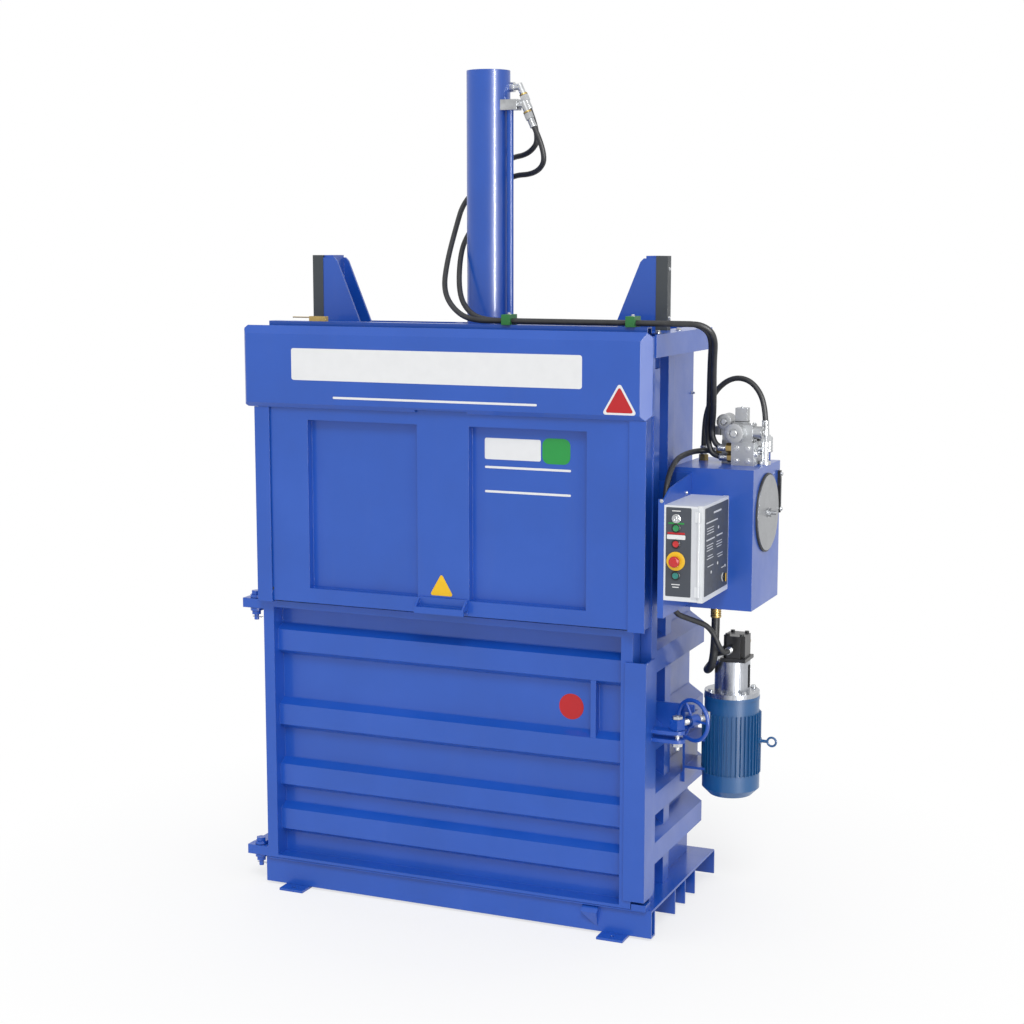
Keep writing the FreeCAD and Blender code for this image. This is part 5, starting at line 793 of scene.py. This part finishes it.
# Blank bars and dots on the lid: place along y and z, then width and height of a bar.
LID_BARS = ((-327, 1708, 96, 7), (-397, 1678, 144, 5), (-412, 1612, 104, 5), (-297, 1614, 76, 5),
            (-415, 1656, 90, 3), (-415, 1646, 80, 3), (-415, 1636, 86, 3), (-420, 1592, 84, 3),
            (-420, 1582, 70, 3), (-420, 1572, 78, 3), (-415, 1550, 60, 3), (-415, 1540, 84, 3),
            (-300, 1590, 66, 3), (-300, 1580, 76, 3), (-300, 1570, 58, 3), (-290, 1540, 70, 3),
            (-285, 1530, 60, 3), (-410, 1510, 74, 3), (-250, 1480, 40, 3))
LID_DOTS = ((-312, 1644), (-317, 1506), (-399, 1484), (-217, 1481))


def dress_controls():
    """Blank fields, rings and caps of the operator's box, and the screws of its arm."""
    line = MIDDLE["start_button"].x
    plate("panel_dark_field", (986, PANEL_FACE, 1569), FRONT, 99, 338, 4, "dark_field", "frame")
    plate("panel_strip", (STRIP_X, PANEL_FACE, 1564), FRONT, 24, 344, 3, "grey_field", "frame")
    raised = PANEL_FACE - FIELD_T
    plate("panel_green_bar", (line, raised, 1678), FRONT, 62, 6, 2, "green_field", "frame")
    plate("panel_red_bar", (line, raised, 1640), FRONT, 68, 8, 2, "red_field", "frame")
    plate("panel_white_bar", (line, raised, 1626), FRONT, 72, 17, 3, "white_field", "frame")
    for i, (z, width) in enumerate(((1725, 34), (1446, 34), (1436, 26))):
        plate(f"panel_small_bar_{i}", (line, raised, z), FRONT, width, 3.5, 1.5, "white_field",
              "frame")
    turned("emergency_ring", [(13.2, 0), (35, 0), (36, 1), (36, 4.4), (34.5, 5.4), (13.2, 5.4)],
           (line, RING_FOOT, MIDDLE["emergency_button"].z), FRONT, "frame", "box_white",
           "yellow_field")
    for name in ("key_switch", "start_button", "stop_button", "reset_button"):
        slot = "zinc_steel" if name == "key_switch" else "black_plastic"
        turned(f"{name}_bezel", BEZEL, (line, RING_FOOT, MIDDLE[name].z), FRONT, "frame", slot)
    for node, (body, profile) in CAPS.items():
        cap = turned(f"{node}_cap", profile, (line, CAP_FOOT_Y, MIDDLE[node].z), FRONT, body,
                     SLOTS[node], hollow=False)
        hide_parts(node)
    lid = HIGH["control_lid"].x
    plate("lid_dark_field", (lid, -333, 1568), RIGHT, 300, 334, 6, "dark_field", "lid")
    for i, (y, z, width, height) in enumerate(LID_BARS):
        plate(f"lid_bar_{i}", (lid + FIELD_T, y, z), RIGHT, width, height, 1.2, "grey_field", "lid")
    for i, (y, z) in enumerate(LID_DOTS):
        regular(f"lid_dot_{i}", (lid + FIELD_T, y, z), RIGHT, 6, 12, 0.5, "white_field", "lid")
    lock = LOW["lid_lock"]
    middle = MIDDLE["lid_lock"].y
    turned("lock_ring", [(11.6, 0), (17, 0), (17.4, 0.8), (17, 2.4), (11.6, 2.4)],
           (lid + FIELD_T, middle, LOCK_Z), RIGHT, "lid", "zinc_steel", "grey_field")
    face = HIGH["lid_lock"].x
    blocks("lock_lever_face",
           [((face, lock.y + 6.4, LOCK_Z - 16), (face + 1.2, lock.y + 15.6, LOCK_Z + 16))],
           "lock", "black_plastic", "yellow_field", 0.5)
    bolts("arm_front_screw", [(918, LOW["control_arm"].y, 1759)], FRONT, 9, 5)
    bolts("arm_side_screw", [(HIGH["control_arm"].x, -236, 1758)], RIGHT, 9, 5)


# ---------------------------------------------------------------- lights, floor and camera
SUN_FROM, SUN_STRENGTH, SUN_SPREAD = (0.35, -0.75, 0.9), 1.15, math.radians(20)
STRIP_FROM, STRIP_POWER, STRIP_SIZE = (0.825, -0.565, 0.0), 900, (0.7, 5.0)
SUN_REACH, STRIP_REACH, LAMP_LEVEL = 10, 7, 2.5
SKY_LIGHT, SKY_SEEN = 0.74, 1.0
FLOOR_HALF, FLOOR_LEVEL, FLOOR_TONE = 40, -0.0006, 0.94
SHADOW_R, PLAIN_R, PLAIN_SHARE = 1.0, 2.4, 0.68
CAMERA_PLACE, CAMERA_DOWN, CAMERA_TURN = (3.0977, -7.0224, 2.7048), 8.20, 23.16
LENS, SENSOR = 65.0, 36


def build_stage():
    """Floor that turns plain white beyond the shadow, an even sky, a sun and a strip for gloss."""
    shape = bmesh.new()
    bmesh.ops.create_grid(shape, x_segments=1, y_segments=1, size=FLOOR_HALF,
                          matrix=Matrix.Translation((0, 0, FLOOR_LEVEL)))
    mesh = bpy.data.meshes.new("studio_floor")
    shape.to_mesh(mesh)
    shape.free()
    floor = bpy.data.objects.new("studio_floor", mesh)
    bpy.context.scene.collection.objects.link(floor)
    g = Graph("studio_floor")
    mesh.materials.append(g.finish((FLOOR_TONE, FLOOR_TONE, FLOOR_TONE, 1), 0.9,
                                   g.bump(g.noise(300, 2), 0.02, 0.0005), Specular_IOR_Level=0.1))
    path = g.add("ShaderNodeLightPath").outputs
    seen = g.math("MAXIMUM", path["Is Camera Ray"], g.math("MAXIMUM", path["Is Glossy Ray"],
                                                          path["Is Transmission Ray"]))
    share = g.span(g.distance((1, 1, 0)), SHADOW_R, PLAIN_R, PLAIN_SHARE, 1.0)
    plain = g.math("MULTIPLY", seen, share)
    blend = g.add("ShaderNodeMixShader")
    glow = g.add("ShaderNodeEmission")
    for socket, value in zip(blend.inputs, (plain, g.shader.outputs[0], glow.outputs[0])):
        g.wire(value, socket)
    g.wire(blend.outputs[0], g.tree.nodes["Material Output"].inputs["Surface"])

    world = bpy.data.worlds.new("studio")
    bpy.context.scene.world = world
    world.use_nodes = True
    tree = world.node_tree
    back = tree.nodes["Background"]
    back.inputs["Color"].default_value = (1, 1, 1, 1)
    path = tree.nodes.new("ShaderNodeLightPath")
    seen = tree.nodes.new("ShaderNodeMath")
    seen.operation = "MAXIMUM"
    tree.links.new(path.outputs["Is Camera Ray"], seen.inputs[0])
    tree.links.new(path.outputs["Is Glossy Ray"], seen.inputs[1])
    level = tree.nodes.new("ShaderNodeMapRange")
    level.inputs["To Min"].default_value = SKY_LIGHT
    level.inputs["To Max"].default_value = SKY_SEEN
    tree.links.new(seen.outputs[0], level.inputs["Value"])
    tree.links.new(level.outputs["Result"], back.inputs["Strength"])

    sun = bpy.data.lights.new("sun", "SUN")
    sun.energy = SUN_STRENGTH
    sun.angle = SUN_SPREAD
    strip = bpy.data.lights.new("strip", "AREA")
    strip.shape = "RECTANGLE"
    strip.size, strip.size_y = STRIP_SIZE
    strip.energy = STRIP_POWER
    for light, way, reach in ((sun, SUN_FROM, SUN_REACH), (strip, STRIP_FROM, STRIP_REACH)):
        lamp = bpy.data.objects.new(light.name, light)
        bpy.context.scene.collection.objects.link(lamp)
        lamp.location = Vector(way) * reach + Vector((0, 0, LAMP_LEVEL))
        lamp.rotation_euler = Vector(way).to_track_quat("Z", "Y").to_euler()
        lamp.visible_diffuse = light is sun


def build_camera():
    data = bpy.data.cameras.new("camera")
    data.lens = LENS
    data.sensor_width = SENSOR
    camera = bpy.data.objects.new("camera", data)
    bpy.context.scene.collection.objects.link(camera)
    camera.location = CAMERA_PLACE
    camera.rotation_euler = (math.radians(90 - CAMERA_DOWN), 0, math.radians(CAMERA_TURN))
    bpy.context.scene.camera = camera
    bpy.context.scene.view_settings.view_transform = "Standard"


build_camera()
lay_hoses()
dress_frame()
lay_welds()
lay_plates()
dress_latch()
dress_hydraulics()
dress_motor()
dress_controls()
build_stage()
